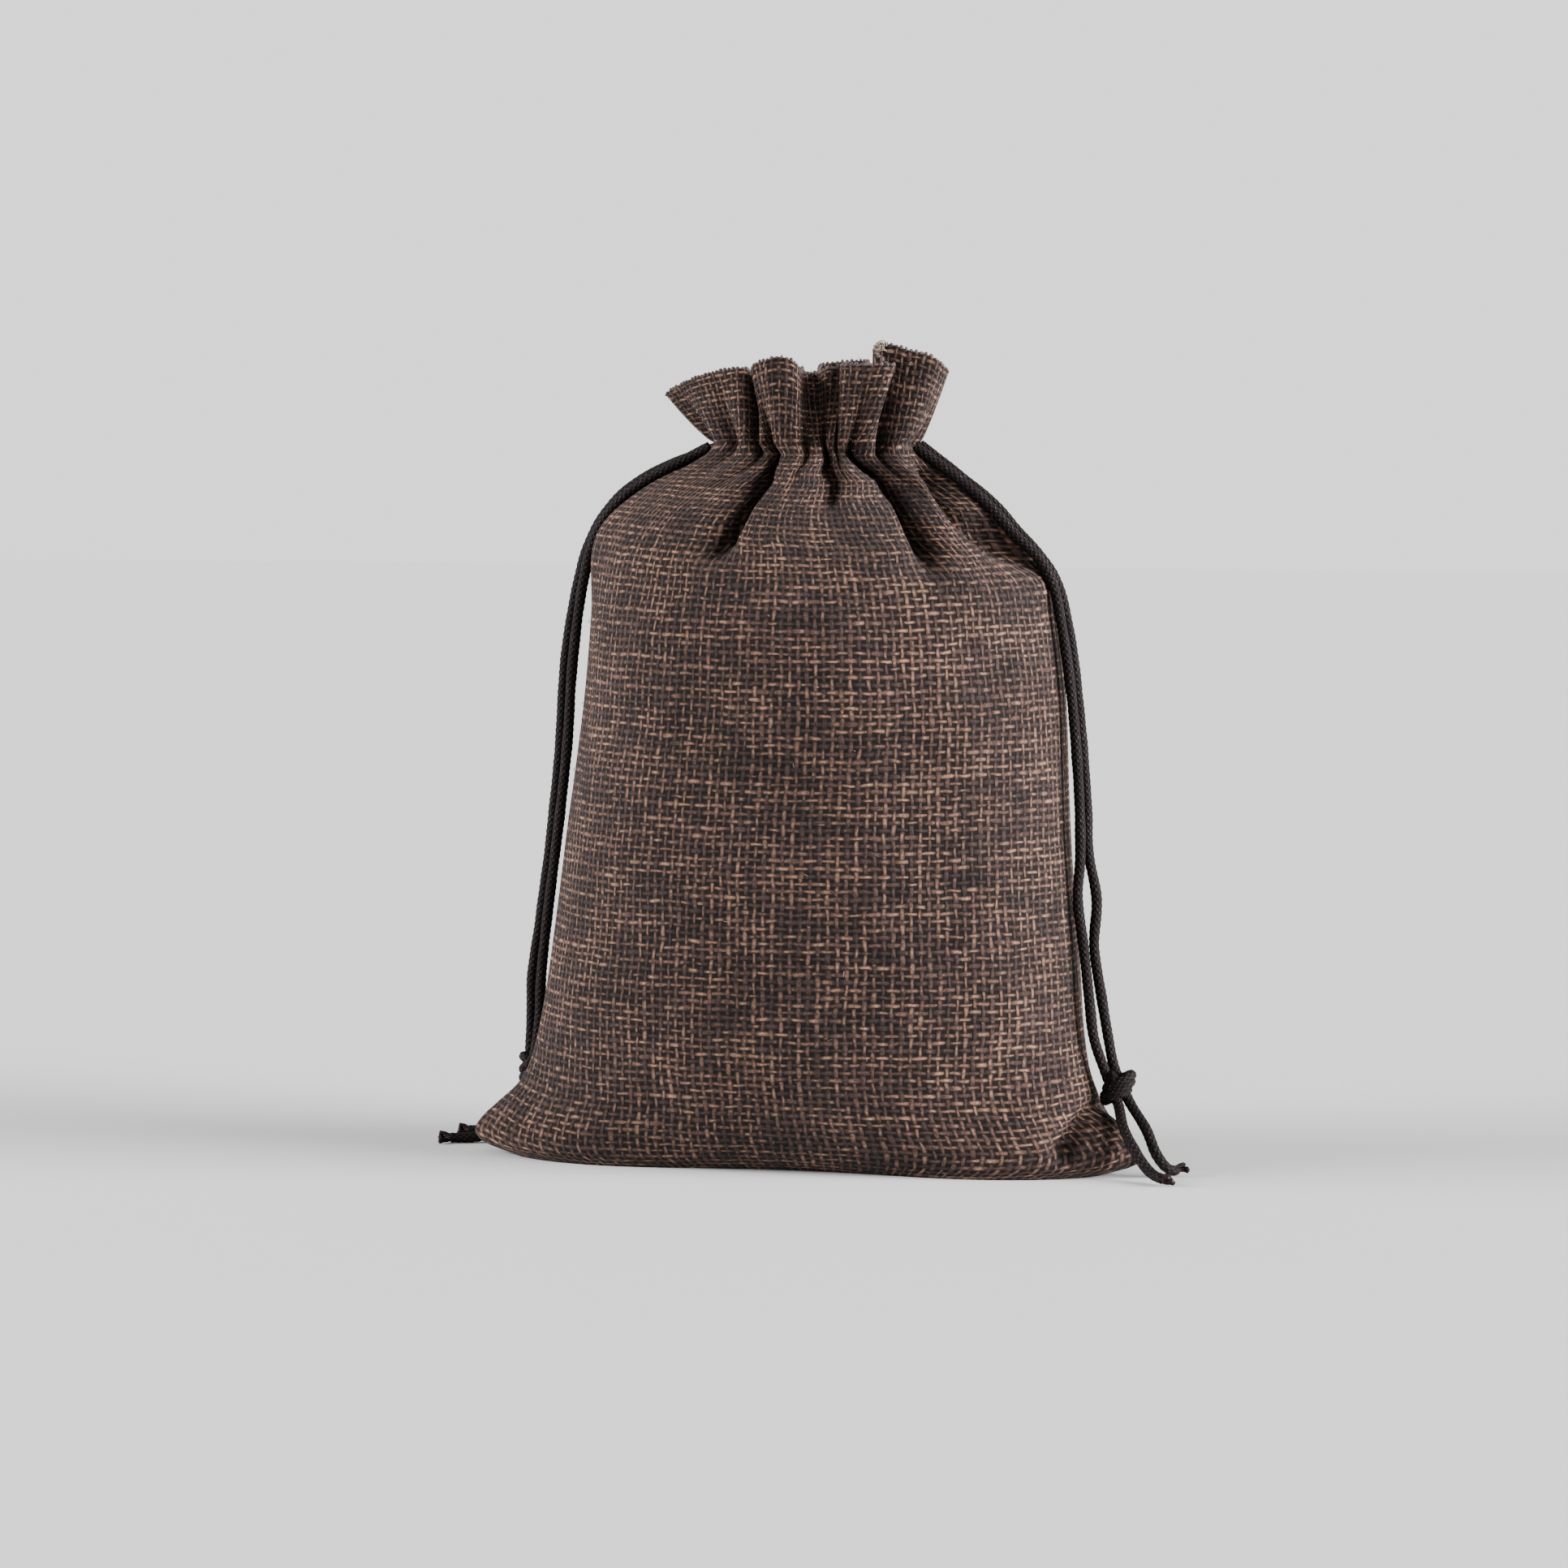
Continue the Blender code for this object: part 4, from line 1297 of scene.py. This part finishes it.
    def under_cords(self, ring: np.ndarray) -> np.ndarray:
        """Press a ring in wherever a cord lies on it.

        Args:
            ring: the ring.

        Returns:
            The ring, clear of every cord.
        """
        way, room = self.outward(ring), self.cord_room**2
        pressed = np.zeros(len(ring))
        for place in self.cord_lines[np.abs(self.cord_lines[:, 2] - ring[0, 2]) < self.cord_room]:
            apart = ring - place
            ahead, gap = (apart * way).sum(axis=1), (apart**2).sum(axis=1)
            rest = np.sqrt(np.clip(room - gap + ahead**2, 0.0, None))
            pressed = np.maximum(pressed, np.where(gap < room, ahead + rest, 0.0))
        return ring - way * pressed[:, None]

    def ruffle_ring(self, share: float, floor: float) -> np.ndarray:
        """Return a ring of the ruffle.

        Args:
            share: 0 at the floor and 1 at the rim.
            floor: the height that 0 stands for.

        Returns:
            One point for each column.
        """
        level = floor + (self.rim[:, 2] - floor) * share
        spread = ((level - self.neck_height) / (self.rim[:, 2] - self.neck_height)) ** self.flare
        ring = self.neck + (self.rim - self.neck) * spread[:, None]
        ring[:, 2] = level
        return ring

    def drawn_in(self, ring: np.ndarray, distance: float, drop: float = 0.0) -> np.ndarray:
        """Move a ring inwards, by less where a tight corner leaves less room.

        Args:
            ring: the ring.
            distance: how far it moves.
            drop: how far it is lowered.

        Returns:
            The moved ring.
        """
        way = self.outward(ring)
        edge = np.roll(ring, -1, axis=0) - ring
        turned = ((np.roll(way, -1, axis=0) - way) * edge).sum(axis=1)
        closing = turned / np.maximum((edge**2).sum(axis=1), 1e-9)
        shrunk = self.corner_shrink / np.maximum(closing, 1e-9)
        limit = np.where(closing * distance > self.corner_shrink, shrunk, distance)
        room = np.minimum(distance, np.minimum(limit, np.roll(limit, 1)))
        for _ in range(3):
            room = np.minimum(room, np.minimum(np.roll(room, 1), np.roll(room, -1)) + 0.15)
        moved = ring - way * room[:, None]
        moved[:, 2] -= drop
        return moved

    def base_ring(self, first: np.ndarray, share: float) -> np.ndarray:
        """Return a ring of the underside.

        Args:
            first: the ring on the ground.
            share: 0 at that ring and 1 at the bottom seam.

        Returns:
            One point for each column.
        """
        seam = SECTIONS[0].seam_y
        across = first[:, 0] * (1.0 - 0.03 * share)
        along = seam + (first[:, 1] - seam) * (1.0 - share)
        lift = np.full(len(first), self.base_lift * float(ease(3.0 * share)))
        return np.stack((across, along, lift), axis=1)

    def floor_ring(self, edge: np.ndarray, share: float) -> np.ndarray:
        """Return a ring of the gathered cloth that closes the ruffle's throat.

        Args:
            edge: the ring at the foot of the ruffle's inside.
            share: 0 at that ring and 1 at the middle.

        Returns:
            One point for each column.
        """
        turn = FULL_TURN * self.shares
        across = self.neck_centre - self.throat_half_width * (1.3 - 0.5 * share) * np.cos(turn)
        along = -self.throat_half_depth * (1.2 - 0.9 * share) * np.sin(turn)
        level = self.throat_floor - 0.5 * self.pleat_pattern[0] * (1.0 - share) + 0.4 * share
        return edge + (np.stack((across, along, level), axis=1) - edge) * float(ease(0.25 + 0.75 * share))

    def rings(self) -> tuple[np.ndarray, int, int]:
        """Build the skin's rings.

        Returns:
            The rings from the bottom seam up the outside, over the rim and down the inside, with the index of
            the ring at the datum height and of the rim's first ring.
        """
        body = [self.body_ring(float(height)) for height in self.body_heights]
        rings = [self.base_ring(body[0], step / self.base_rings) for step in range(self.base_rings, 0, -1)]
        datum = len(rings) + int(np.argmin(np.abs(self.body_heights - self.datum)))
        rings += body
        steps = range(self.ruffle_rings)
        rings += [self.ruffle_ring(step / self.ruffle_rings, self.neck_height) for step in steps]
        top = len(rings)
        rings += [
            self.drawn_in(self.rim, share * self.cloth_thickness, drop) for share, drop in self.edge_roll
        ]
        for step in reversed(range(self.inside_rings)):
            cloth = self.ruffle_ring(step / self.inside_rings, self.throat_height)
            rings.append(self.drawn_in(cloth, self.cloth_thickness))
        inner = rings[-1]
        rings += [self.floor_ring(inner, step / self.floor_rings) for step in range(1, self.floor_rings + 1)]
        return np.stack(rings), datum, top

    def edge(self) -> np.ndarray:
        """Return the line along the middle of the ruffle's edge."""
        return self.drawn_in(self.rim, 0.5 * self.cloth_thickness, 0.05)

    def plain_rings(self) -> np.ndarray:
        """Build the body and the neck without creases and pleats, for the yarns' levels to follow.

        Returns:
            The body's rings and the neck's.
        """
        plain = [self.section_ring(float(height), self.shares) for height in self.body_heights]
        return np.stack([*plain, self.smooth_neck(self.shares)])

    def cloth_heights(self, grid: np.ndarray, datum: int, top: int) -> np.ndarray:
        """Return how far up the cloth each point lies, so that its yarns end level at seam, neck and rim.

        Args:
            grid: the skin's points, by ring and column.
            datum: the ring that the heights are counted from.
            top: the rim's first ring.

        Returns:
            The height along the cloth of each point.
        """
        even = grid.copy()
        even[self.base_rings : self.base_rings + self.body_rings + 1] = self.plain_rings()
        run = evened(np.linalg.norm(np.diff(even, axis=0), axis=2), self.height_smoothing, axis=1)
        height = np.concatenate((np.zeros((1, self.columns)), np.cumsum(run, axis=0)))
        height -= height[datum]
        neck = top - self.ruffle_rings
        below, above = height[0], height[neck]
        found = height.copy()
        found[:datum] *= 1.0 + (below.mean() / below - 1.0) * self.level_pull
        found[datum:neck] *= above.mean() / above
        rise = np.linspace(0.0, self.ruffle_cloth, self.ruffle_rings + 1)
        found[neck : top + 1] = above.mean() + rise[:, None]
        for level in range(top + 1, len(grid)):
            found[level] = found[level - 1] + (height[level] - height[level - 1]).mean()
        return found

    def end_faces(self, levels: int, height: np.ndarray) -> tuple[list[list[int]], list[tuple[float, float]]]:
        """Close the bottom seam and the throat with faces from front to back.

        Args:
            levels: how many rings the skin has.
            height: how far up the cloth each point lies.

        Returns:
            The faces and their corners' cloth coordinates.
        """
        count = self.columns
        faces, uv = [], []
        for ring, turned in ((0, -1), (levels - 1, 1)):
            for column in range(count // 2):
                corners = (column, column + 1, (count - column - 1) % count, (count - column) % count)
                order = list(dict.fromkeys(corners))[::turned]
                faces.append([ring * count + number for number in order])
                uv += [(number * GIRTH / count, height[ring, number]) for number in order]
        return faces, uv

    def build(self, material: bpy.types.Material) -> bpy.types.Object:
        """Loft the skin, give it the cloth's own coordinates and close both its ends.

        Args:
            material: the cloth's material.

        Returns:
            The sack's object.
        """
        grid, datum, top = self.rings()
        levels, count = grid.shape[:2]
        height = self.cloth_heights(grid, datum, top)
        ends, end_uv = self.end_faces(levels, height)
        height = np.concatenate((height, height[:, :1]), axis=1)
        uv = np.concatenate((tube_uv(np.arange(count + 1) * GIRTH / count, height), np.array(end_uv)))
        made = make_mesh("sack_cloth", (grid.reshape(-1, 3), tube_faces(levels, count) + ends, uv), material)
        weight = np.zeros((levels, count), dtype=np.float32)
        weight[2 * self.base_rings : top] = self.body_fray
        weight[top : top + len(self.edge_roll)] = 1.0
        made.data.attributes.new(FRAYED, "FLOAT", "POINT").data.foreach_set("value", weight.ravel())
        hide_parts("sack")
        settle(made)
        return made


@dataclass
class BraidedCord:
    """One drawstring's strand, from the neck through its knot to its frayed end."""

    side: str
    diameter: float = 2.0
    around: int = 30
    step: float = 0.18
    strands: int = 6
    lay_length: float = 1.25
    relief: float = 0.11
    hidden_length: float = 4.0
    end_yarns: int = 4
    yarn_radius: float = 0.46
    yarn_stub: float = 0.8
    yarn_spread: float = 0.75
    yarn_length: float = 1.9
    yarn_spare: float = 1.3
    ground_room: float = 0.66

    def route(self) -> list[Place]:
        """List the places that the cord passes through.

        Returns:
            The places, from inside the neck's casing to the cord's end.
        """
        strand, tail = STRANDS[self.side], TAILS[self.side]
        first, second = np.array(strand[0]), np.array(strand[1])
        hidden = first + (first - second) / np.linalg.norm(first - second) * self.hidden_length
        middle = 0.5 * (np.array(strand[-1]) + np.array(tail[0]))
        return [tuple(hidden), *strand, tuple(middle), *tail]

    def braid_size(self, reach: np.ndarray, turn: np.ndarray) -> np.ndarray:
        """Return how the braid's strands swell and narrow the cord.

        Args:
            reach: the length reached at each ring.
            turn: the angle of each column.

        Returns:
            The share of the radius at each ring and column.
        """
        twist, lean = FULL_TURN * reach[:, None] / self.lay_length, self.strands * turn[None, :]
        one, other = np.abs(np.cos(0.5 * (lean + twist))), np.abs(np.cos(0.5 * (lean - twist)))
        over, level = OVER_SWING * np.cos(lean), 1.0 - OVER_SWING
        highest = np.maximum(one * (level + over), other * (level - over))
        return 1.0 - self.relief + 1.4 * self.relief * highest

    def tube(self, path: np.ndarray, radius: np.ndarray, braided: bool = True) -> Patch:
        """Sweep a round cord along a path.

        Args:
            path: the centreline.
            radius: the radius at each of its points.
            braided: whether the braid's relief is raised on it.

        Returns:
            The cord's skin.
        """
        ahead = np.gradient(path, axis=0)
        ahead /= np.linalg.norm(ahead, axis=1, keepdims=True)
        side = np.cross(ahead[0], (0.0, 1.0, 0.3))
        sides = []
        for way in ahead:
            side = side - way * (side @ way)
            side = side / np.linalg.norm(side)
            sides.append(side)
        sides, count = np.array(sides), self.around
        ups = np.cross(ahead, sides)
        turn = FULL_TURN * np.arange(count) / count
        reach = lengths_reached(path)
        size = np.repeat(radius[:, None], count, axis=1)
        if braided:
            size = size * self.braid_size(reach, turn)
        spokes = np.cos(turn)[None, :, None] * sides[:, None] + np.sin(turn)[None, :, None] * ups[:, None]
        points = (path[:, None, :] + size[..., None] * spokes).reshape(-1, 3)
        uv = tube_uv(np.arange(count + 1) / count, np.repeat(reach[:, None], count + 1, axis=1))
        faces = tube_faces(len(path), count)
        for first, pole, turned in ((0, len(points), -1), (len(points) - count, len(points) + 1, 1)):
            for number in range(count):
                pair = [first + number, first + (number + 1) % count]
                faces.append([*pair[::turned], pole])
        ends = np.array([(0.0, reach[-1])] * (6 * count))
        return np.concatenate((points, path[:1], path[-1:])), faces, np.concatenate((uv, ends))

    def build(self, material: bpy.types.Material, end_material: bpy.types.Material) -> bpy.types.Object:
        """Args:
            material: the cords' material.
            end_material: the material of the yarns at its end.

        Returns:
            The cord's object.
        """
        path = even_path(self.route(), self.step)
        path = path[: len(path) - int(END_ROOM[self.side] / self.step)]
        reach = np.linspace(0.0, 1.0, len(path))
        width = 0.5 * self.diameter * (1.0 + 0.03 * np.sin(61.0 * reach) + 0.02 * np.sin(143.0 * reach + 1.0))
        cord = settle(make_mesh(f"drawstring_{self.side}", self.tube(path, width), material))
        end = settle(self.frayed_end(path, end_material))
        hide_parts(f"cord_{self.side}", f"tail_{self.side}")
        LOG.info("%s: %.0f mm long", cord.name, path_length(path))
        return cord

    def frayed_end(self, path: np.ndarray, material: bpy.types.Material) -> bpy.types.Object:
        """Splay the cord's yarns past its end.

        Args:
            path: the cord's centreline.
            material: the yarns' material.

        Returns:
            The yarns in one object.
        """
        rng = np.random.default_rng(sum(map(ord, self.side)))
        ahead = path[-1] - path[-6]
        ahead[2] = 0.0
        ahead /= np.linalg.norm(ahead)
        across = np.array([-ahead[1], ahead[0], 0.0])
        thin = BraidedCord(self.side, around=8)
        yarns = []
        for number in range(self.end_yarns):
            turn = FULL_TURN * number / self.end_yarns
            spread = self.yarn_spread * ((number / (self.end_yarns - 1)) * 2.0 - 1.0)
            start = path[-4] + 0.5 * (across * math.cos(turn) + np.array([0, 0, 1.0]) * math.sin(turn))
            length = self.yarn_length + self.yarn_spare * rng.random()
            way = ahead * math.cos(spread) + across * math.sin(spread)
            lift = np.array([0.0, 0.0, 0.35 * math.sin(turn)])
            sway = across * (rng.random() - 0.5) * 0.9
            stub = start + ahead * self.yarn_stub
            middle = stub + way * length * 0.5 + lift + sway * 0.3
            line = even_path([start, stub, middle, stub + way * length + lift * 0.4 + sway], self.step)
            line[:, 2] = np.maximum(line[:, 2], self.ground_room)
            share = np.linspace(0.0, 1.0, len(line))
            bead = np.exp(-(((share - 0.88) / 0.1) ** 2))
            uneven = 1.0 + 0.1 * np.sin(9.0 * share + number)
            radius = self.yarn_radius * (1.0 - 0.2 * share + 0.55 * bead) * uneven
            radius[-3:] *= np.array([0.95, 0.8, 0.5])
            yarns.append(thin.tube(line, radius, braided=False))
        return make_mesh(f"frayed_end_{self.side}", join_patches(yarns), material)


@dataclass(frozen=True)
class KnotTurn:
    """One turn of a knot: its height and slant in it, the angle where it is highest, and its width."""

    level: float
    slant: float
    start: float
    width: float


@dataclass
class Knot:
    """The overhand knot that ties a side's two strands, with its turns wound round them."""

    side: str
    centre: Place
    half_width: float
    half_height: float
    lean: float
    turn_radius: float = 0.98
    turns: tuple[KnotTurn, ...] = (
        KnotTurn(0.42, 1.5, 0.1, 0.98),
        KnotTurn(-0.1, 1.7, 0.3, 1.04),
        KnotTurn(-0.56, 1.3, 0.0, 0.9),
        KnotTurn(0.1, -1.5, 0.4, 0.86),
    )

    def build(self, material: bpy.types.Material) -> bpy.types.Object:
        """Wind the knot's turns and put them in the knot's place.

        Args:
            material: the cords' material.

        Returns:
            The knot's object.
        """
        tilt = math.radians(self.lean)
        axis = np.array([math.sin(tilt), 0.0, math.cos(tilt)])
        right = np.array([math.cos(tilt), 0.0, -math.sin(tilt)])
        front = np.array([0.0, 1.0, 0.0])
        wide, tall = self.half_width - self.turn_radius, self.half_height - self.turn_radius
        angle = np.linspace(0.0, FULL_TURN, 73)
        maker = BraidedCord(self.side, around=20)
        wound = []
        for turn in self.turns:
            line = (
                np.array(self.centre)
                + np.outer(np.cos(angle) * wide * turn.width, right)
                + np.outer(np.sin(angle) * wide * turn.width, front)
                + np.outer(tall * (turn.level + 0.42 * turn.slant * np.cos(angle - turn.start)), axis)
            )
            even = read_along(line, np.linspace(0.0, 1.0, 90))
            wound.append(maker.tube(even, np.full(len(even), self.turn_radius)))
        made = make_mesh(f"knot_turns_{self.side}", join_patches(wound), material)
        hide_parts(f"knot_{self.side}")
        return settle(made)


@dataclass
class LooseThreads:
    """The pale thread that comes loose in a small curl at the ruffle's highest corner."""

    corner: Place = (14.4, -8.7, 154.9)
    radius: float = 0.11
    curls: int = 14
    samples: int = 16
    step: float = 0.16
    seed: int = 3

    def build(self, material: bpy.types.Material) -> bpy.types.Object:
        """Wind the curls about the corner.

        Args:
            material: the thread's material.

        Returns:
            The thread's object.
        """
        rng = np.random.default_rng(self.seed)
        thin = BraidedCord("left_front", around=8)
        wound = []
        for _ in range(self.curls):
            turn = np.linspace(0.0, 4.2 + 2.0 * rng.random(), self.samples) + 6.28 * rng.random()
            size = np.linspace(1.1, 0.5, self.samples) * (0.6 + 0.5 * rng.random())
            tip = rng.normal(0.0, 0.45, 3)
            lean = 3.0 * rng.random()
            along = size * np.sin(turn) * math.sin(lean) + 0.4 * tip[0] * turn
            line = np.stack((size * np.cos(turn), along, size * np.sin(turn) * math.cos(lean)), axis=1)
            line += np.array(self.corner) + tip * (1.0, 0.6, 0.8)
            smooth = even_path(line, self.step)
            wound.append(thin.tube(smooth, np.full(len(smooth), self.radius), braided=False))
        return settle(make_mesh("loose_thread", join_patches(wound), material))


class GrowthDesk(NodeDesk):
    """A Geometry Nodes tree that stands copies of a shape on an object, with named inputs for its sizes."""

    def __init__(self, name: str, values: dict[str, float | int]) -> None:
        """Start the tree.

        Args:
            name: the tree's name.
            values: the value of each named input.
        """
        super().__init__(bpy.data.node_groups.new(name, "GeometryNodeTree"))
        self.values = values
        face = self.tree.interface
        face.new_socket("Geometry", in_out="INPUT", socket_type="NodeSocketGeometry")
        for label, value in values.items():
            kind = "NodeSocketInt" if isinstance(value, int) else "NodeSocketFloat"
            face.new_socket(label, in_out="INPUT", socket_type=kind)
        face.new_socket("Geometry", in_out="OUTPUT", socket_type="NodeSocketGeometry")
        self.given = self.add("NodeGroupInput").outputs

    def random(self, kind: str, least: object, most: object) -> bpy.types.NodeSocket:
        """Return a random value for each copy.

        Args:
            kind: FLOAT or FLOAT_VECTOR.
            least: the least value.
            most: the greatest value.

        Returns:
            The value's socket.
        """
        first, out = (2, 1) if kind == "FLOAT" else (0, 0)
        limits = {first: least, first + 1: most, "Seed": self.given["Seed"]}
        return self.add("FunctionNodeRandomValue", limits, data_type=kind).outputs[out]

    def stand(self, material: bpy.types.Material, **placing: bpy.types.NodeSocket) -> None:
        """End the tree with real copies of a shape.

        Args:
            material: the copies' material.
            placing: the points, the shape, and how each copy is turned and scaled.
        """
        copies = self.add("GeometryNodeInstanceOnPoints", placing)
        whole = self.add("GeometryNodeRealizeInstances", {"Geometry": copies.outputs["Instances"]})
        dress = {"Geometry": whole.outputs["Geometry"], "Material": material}
        dressed = self.add("GeometryNodeSetMaterial", dress)
        self.add("NodeGroupOutput", {"Geometry": dressed.outputs["Geometry"]})

    def grow(self, name: str, base: bpy.types.Mesh) -> bpy.types.Object:
        """Run the tree on a passing object and keep only its result, as a plain piece of the cloth.

        Args:
            name: the piece's name.
            base: the mesh that the tree starts from.

        Returns:
            The piece's object.
        """
        carrier = link(f"{name} carrier", base)
        nodes = carrier.modifiers.new(self.tree.name, "NODES")
        nodes.node_group = self.tree
        for item in self.tree.interface.items_tree:
            if item.in_out == "INPUT" and item.name in self.values:
                nodes[item.identifier] = self.values[item.name]
        bpy.context.view_layer.update()
        mesh = bpy.data.meshes.new_from_object(carrier.evaluated_get(bpy.context.evaluated_depsgraph_get()))
        carrier.modifiers.remove(nodes)
        bpy.data.objects.remove(carrier)
        return settle(link(name, mesh))


@dataclass
class StrayFibres:
    """The short hairs that stand off the cloth, thickest along the ruffle's edge. Sizes are in metres."""

    density: float = 160000.0
    length: float = 0.0009
    radius: float = 0.00005
    seed: int = 11
    # Where a hair's bend and tip are, as shares of its length.
    bend: Place = (0.1, 0.25, 0.7)
    tip: Place = (0.55, 0.3, 0.8)

    def build(self, cloth: bpy.types.Object, material: bpy.types.Material) -> bpy.types.Object:
        """Scatter the hairs over the cloth and keep them as a plain mesh.

        Args:
            cloth: the sack's cloth.
            material: the hairs' material.

        Returns:
            The hairs' object.
        """
        values = {"Density": self.density, "Length": self.length, "Radius": self.radius, "Seed": self.seed}
        desk = GrowthDesk("stray fibres", values)
        given = desk.given
        frayed = desk.add("GeometryNodeInputNamedAttribute", {"Name": FRAYED}, data_type="FLOAT")
        weight = frayed.outputs["Attribute"]
        density = desk.math("MULTIPLY", weight, given["Density"])
        spread = {"Mesh": given["Geometry"], "Density": density, "Seed": given["Seed"]}
        scatter = desk.add("GeometryNodeDistributePointsOnFaces", spread).outputs
        bend, tip = (
            desk.vector(*(desk.math("MULTIPLY", given["Length"], share) for share in place))
            for place in (self.bend, self.tip)
        )
        curve = {"Resolution": 4, "Start": (0.0, 0.0, 0.0), "Middle": bend, "End": tip}
        line = desk.add("GeometryNodeCurveQuadraticBezier", curve).outputs["Curve"]
        round_edge = {"Resolution": 3, "Radius": given["Radius"]}
        rim = desk.add("GeometryNodeCurvePrimitiveCircle", round_edge).outputs["Curve"]
        hair = desk.add("GeometryNodeCurveToMesh", {"Curve": line, "Profile Curve": rim, "Fill Caps": True})
        twist = desk.random("FLOAT_VECTOR", (-0.7, -0.7, 0.0), (0.7, 0.7, 6.283))
        turned = {"Rotation": scatter["Rotation"], "Rotate By": twist}
        rotation = desk.add("FunctionNodeRotateRotation", turned, rotation_space="LOCAL").outputs["Rotation"]
        size = desk.random("FLOAT", 0.35, 1.3)
        grown = {"Points": scatter["Points"], "Instance": hair.outputs["Mesh"]}
        desk.stand(material, **grown, Rotation=rotation, Scale=size)
        return desk.grow("stray_fibres", cloth.data.copy())


@dataclass
class HemKnobs:
    """The knobbly hem: each upright yarn turns over at the ruffle's edge in a bump. Sizes are in metres."""

    spacing: float = 0.00098
    radius: float = 0.00043
    seed: int = 5

    def build(self, edge: np.ndarray, material: bpy.types.Material) -> bpy.types.Object:
        """Set the bumps along the ruffle's edge and keep them as a plain mesh.

        Args:
            edge: the edge's closed line.
            material: the bumps' material.

        Returns:
            The bumps' object.
        """
        desk = GrowthDesk("hem knobs", {"Spacing": self.spacing, "Radius": self.radius, "Seed": self.seed})
        line = desk.add("GeometryNodeMeshToCurve", {"Mesh": desk.given["Geometry"]}).outputs["Curve"]
        spaced = {"Curve": line, "Length": desk.given["Spacing"]}
        even = desk.add("GeometryNodeResampleCurve", spaced, mode="LENGTH").outputs["Curve"]
        ball = {"Radius": desk.given["Radius"], "Subdivisions": 2}
        knob = desk.add("GeometryNodeMeshIcoSphere", ball).outputs["Mesh"]
        size = desk.random("FLOAT_VECTOR", (0.7, 0.7, 0.5), (1.1, 1.1, 1.5))
        desk.stand(material, Points=even, Instance=knob, Scale=size)
        count = len(edge)
        mesh = bpy.data.meshes.new("hem line")
        mesh.from_pydata((edge * MM).tolist(), [(place, (place + 1) % count) for place in range(count)], [])
        made = desk.grow("hem_knobs", mesh)
        made.data.shade_smooth()
        return made


def main() -> None:
    """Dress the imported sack."""
    logging.basicConfig(level=logging.INFO, format="%(name)s: %(message)s", stream=sys.stdout)
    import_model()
    studio = Studio()
    studio.camera()
    studio.lights()
    studio.floor()
    braid = BraidFinish().material()
    # The frayed yarns' finish paints the strands' tops in a lighter, redder colour.
    ends = BraidFinish("worn braid", light=(0.030, 0.012, 0.012, 1.0)).material()
    for side in STRANDS:
        BraidedCord(side).build(braid, ends)
    Knot("left", (-58.7, 6.2, 14.7), 2.95, 3.7, -4.0).build(braid)
    Knot("right", (59.8, -4.9, 15.8), 3.0, 3.7, 12.0).build(braid)
    shape = SackCloth()
    cloth = shape.build(BurlapFinish().material())
    StrayFibres().build(cloth, FibreFinish().material())
    hem = FibreFinish("hem yarn", (0.018, 0.012, 0.012, 1.0), (0.065, 0.038, 0.031, 1.0))
    HemKnobs().build(shape.edge(), hem.material())
    thread = FibreFinish("pale thread", (0.08, 0.055, 0.045, 1.0), (0.20, 0.15, 0.12, 1.0))
    LooseThreads().build(thread.material())


if __name__ == "__main__":
    main()
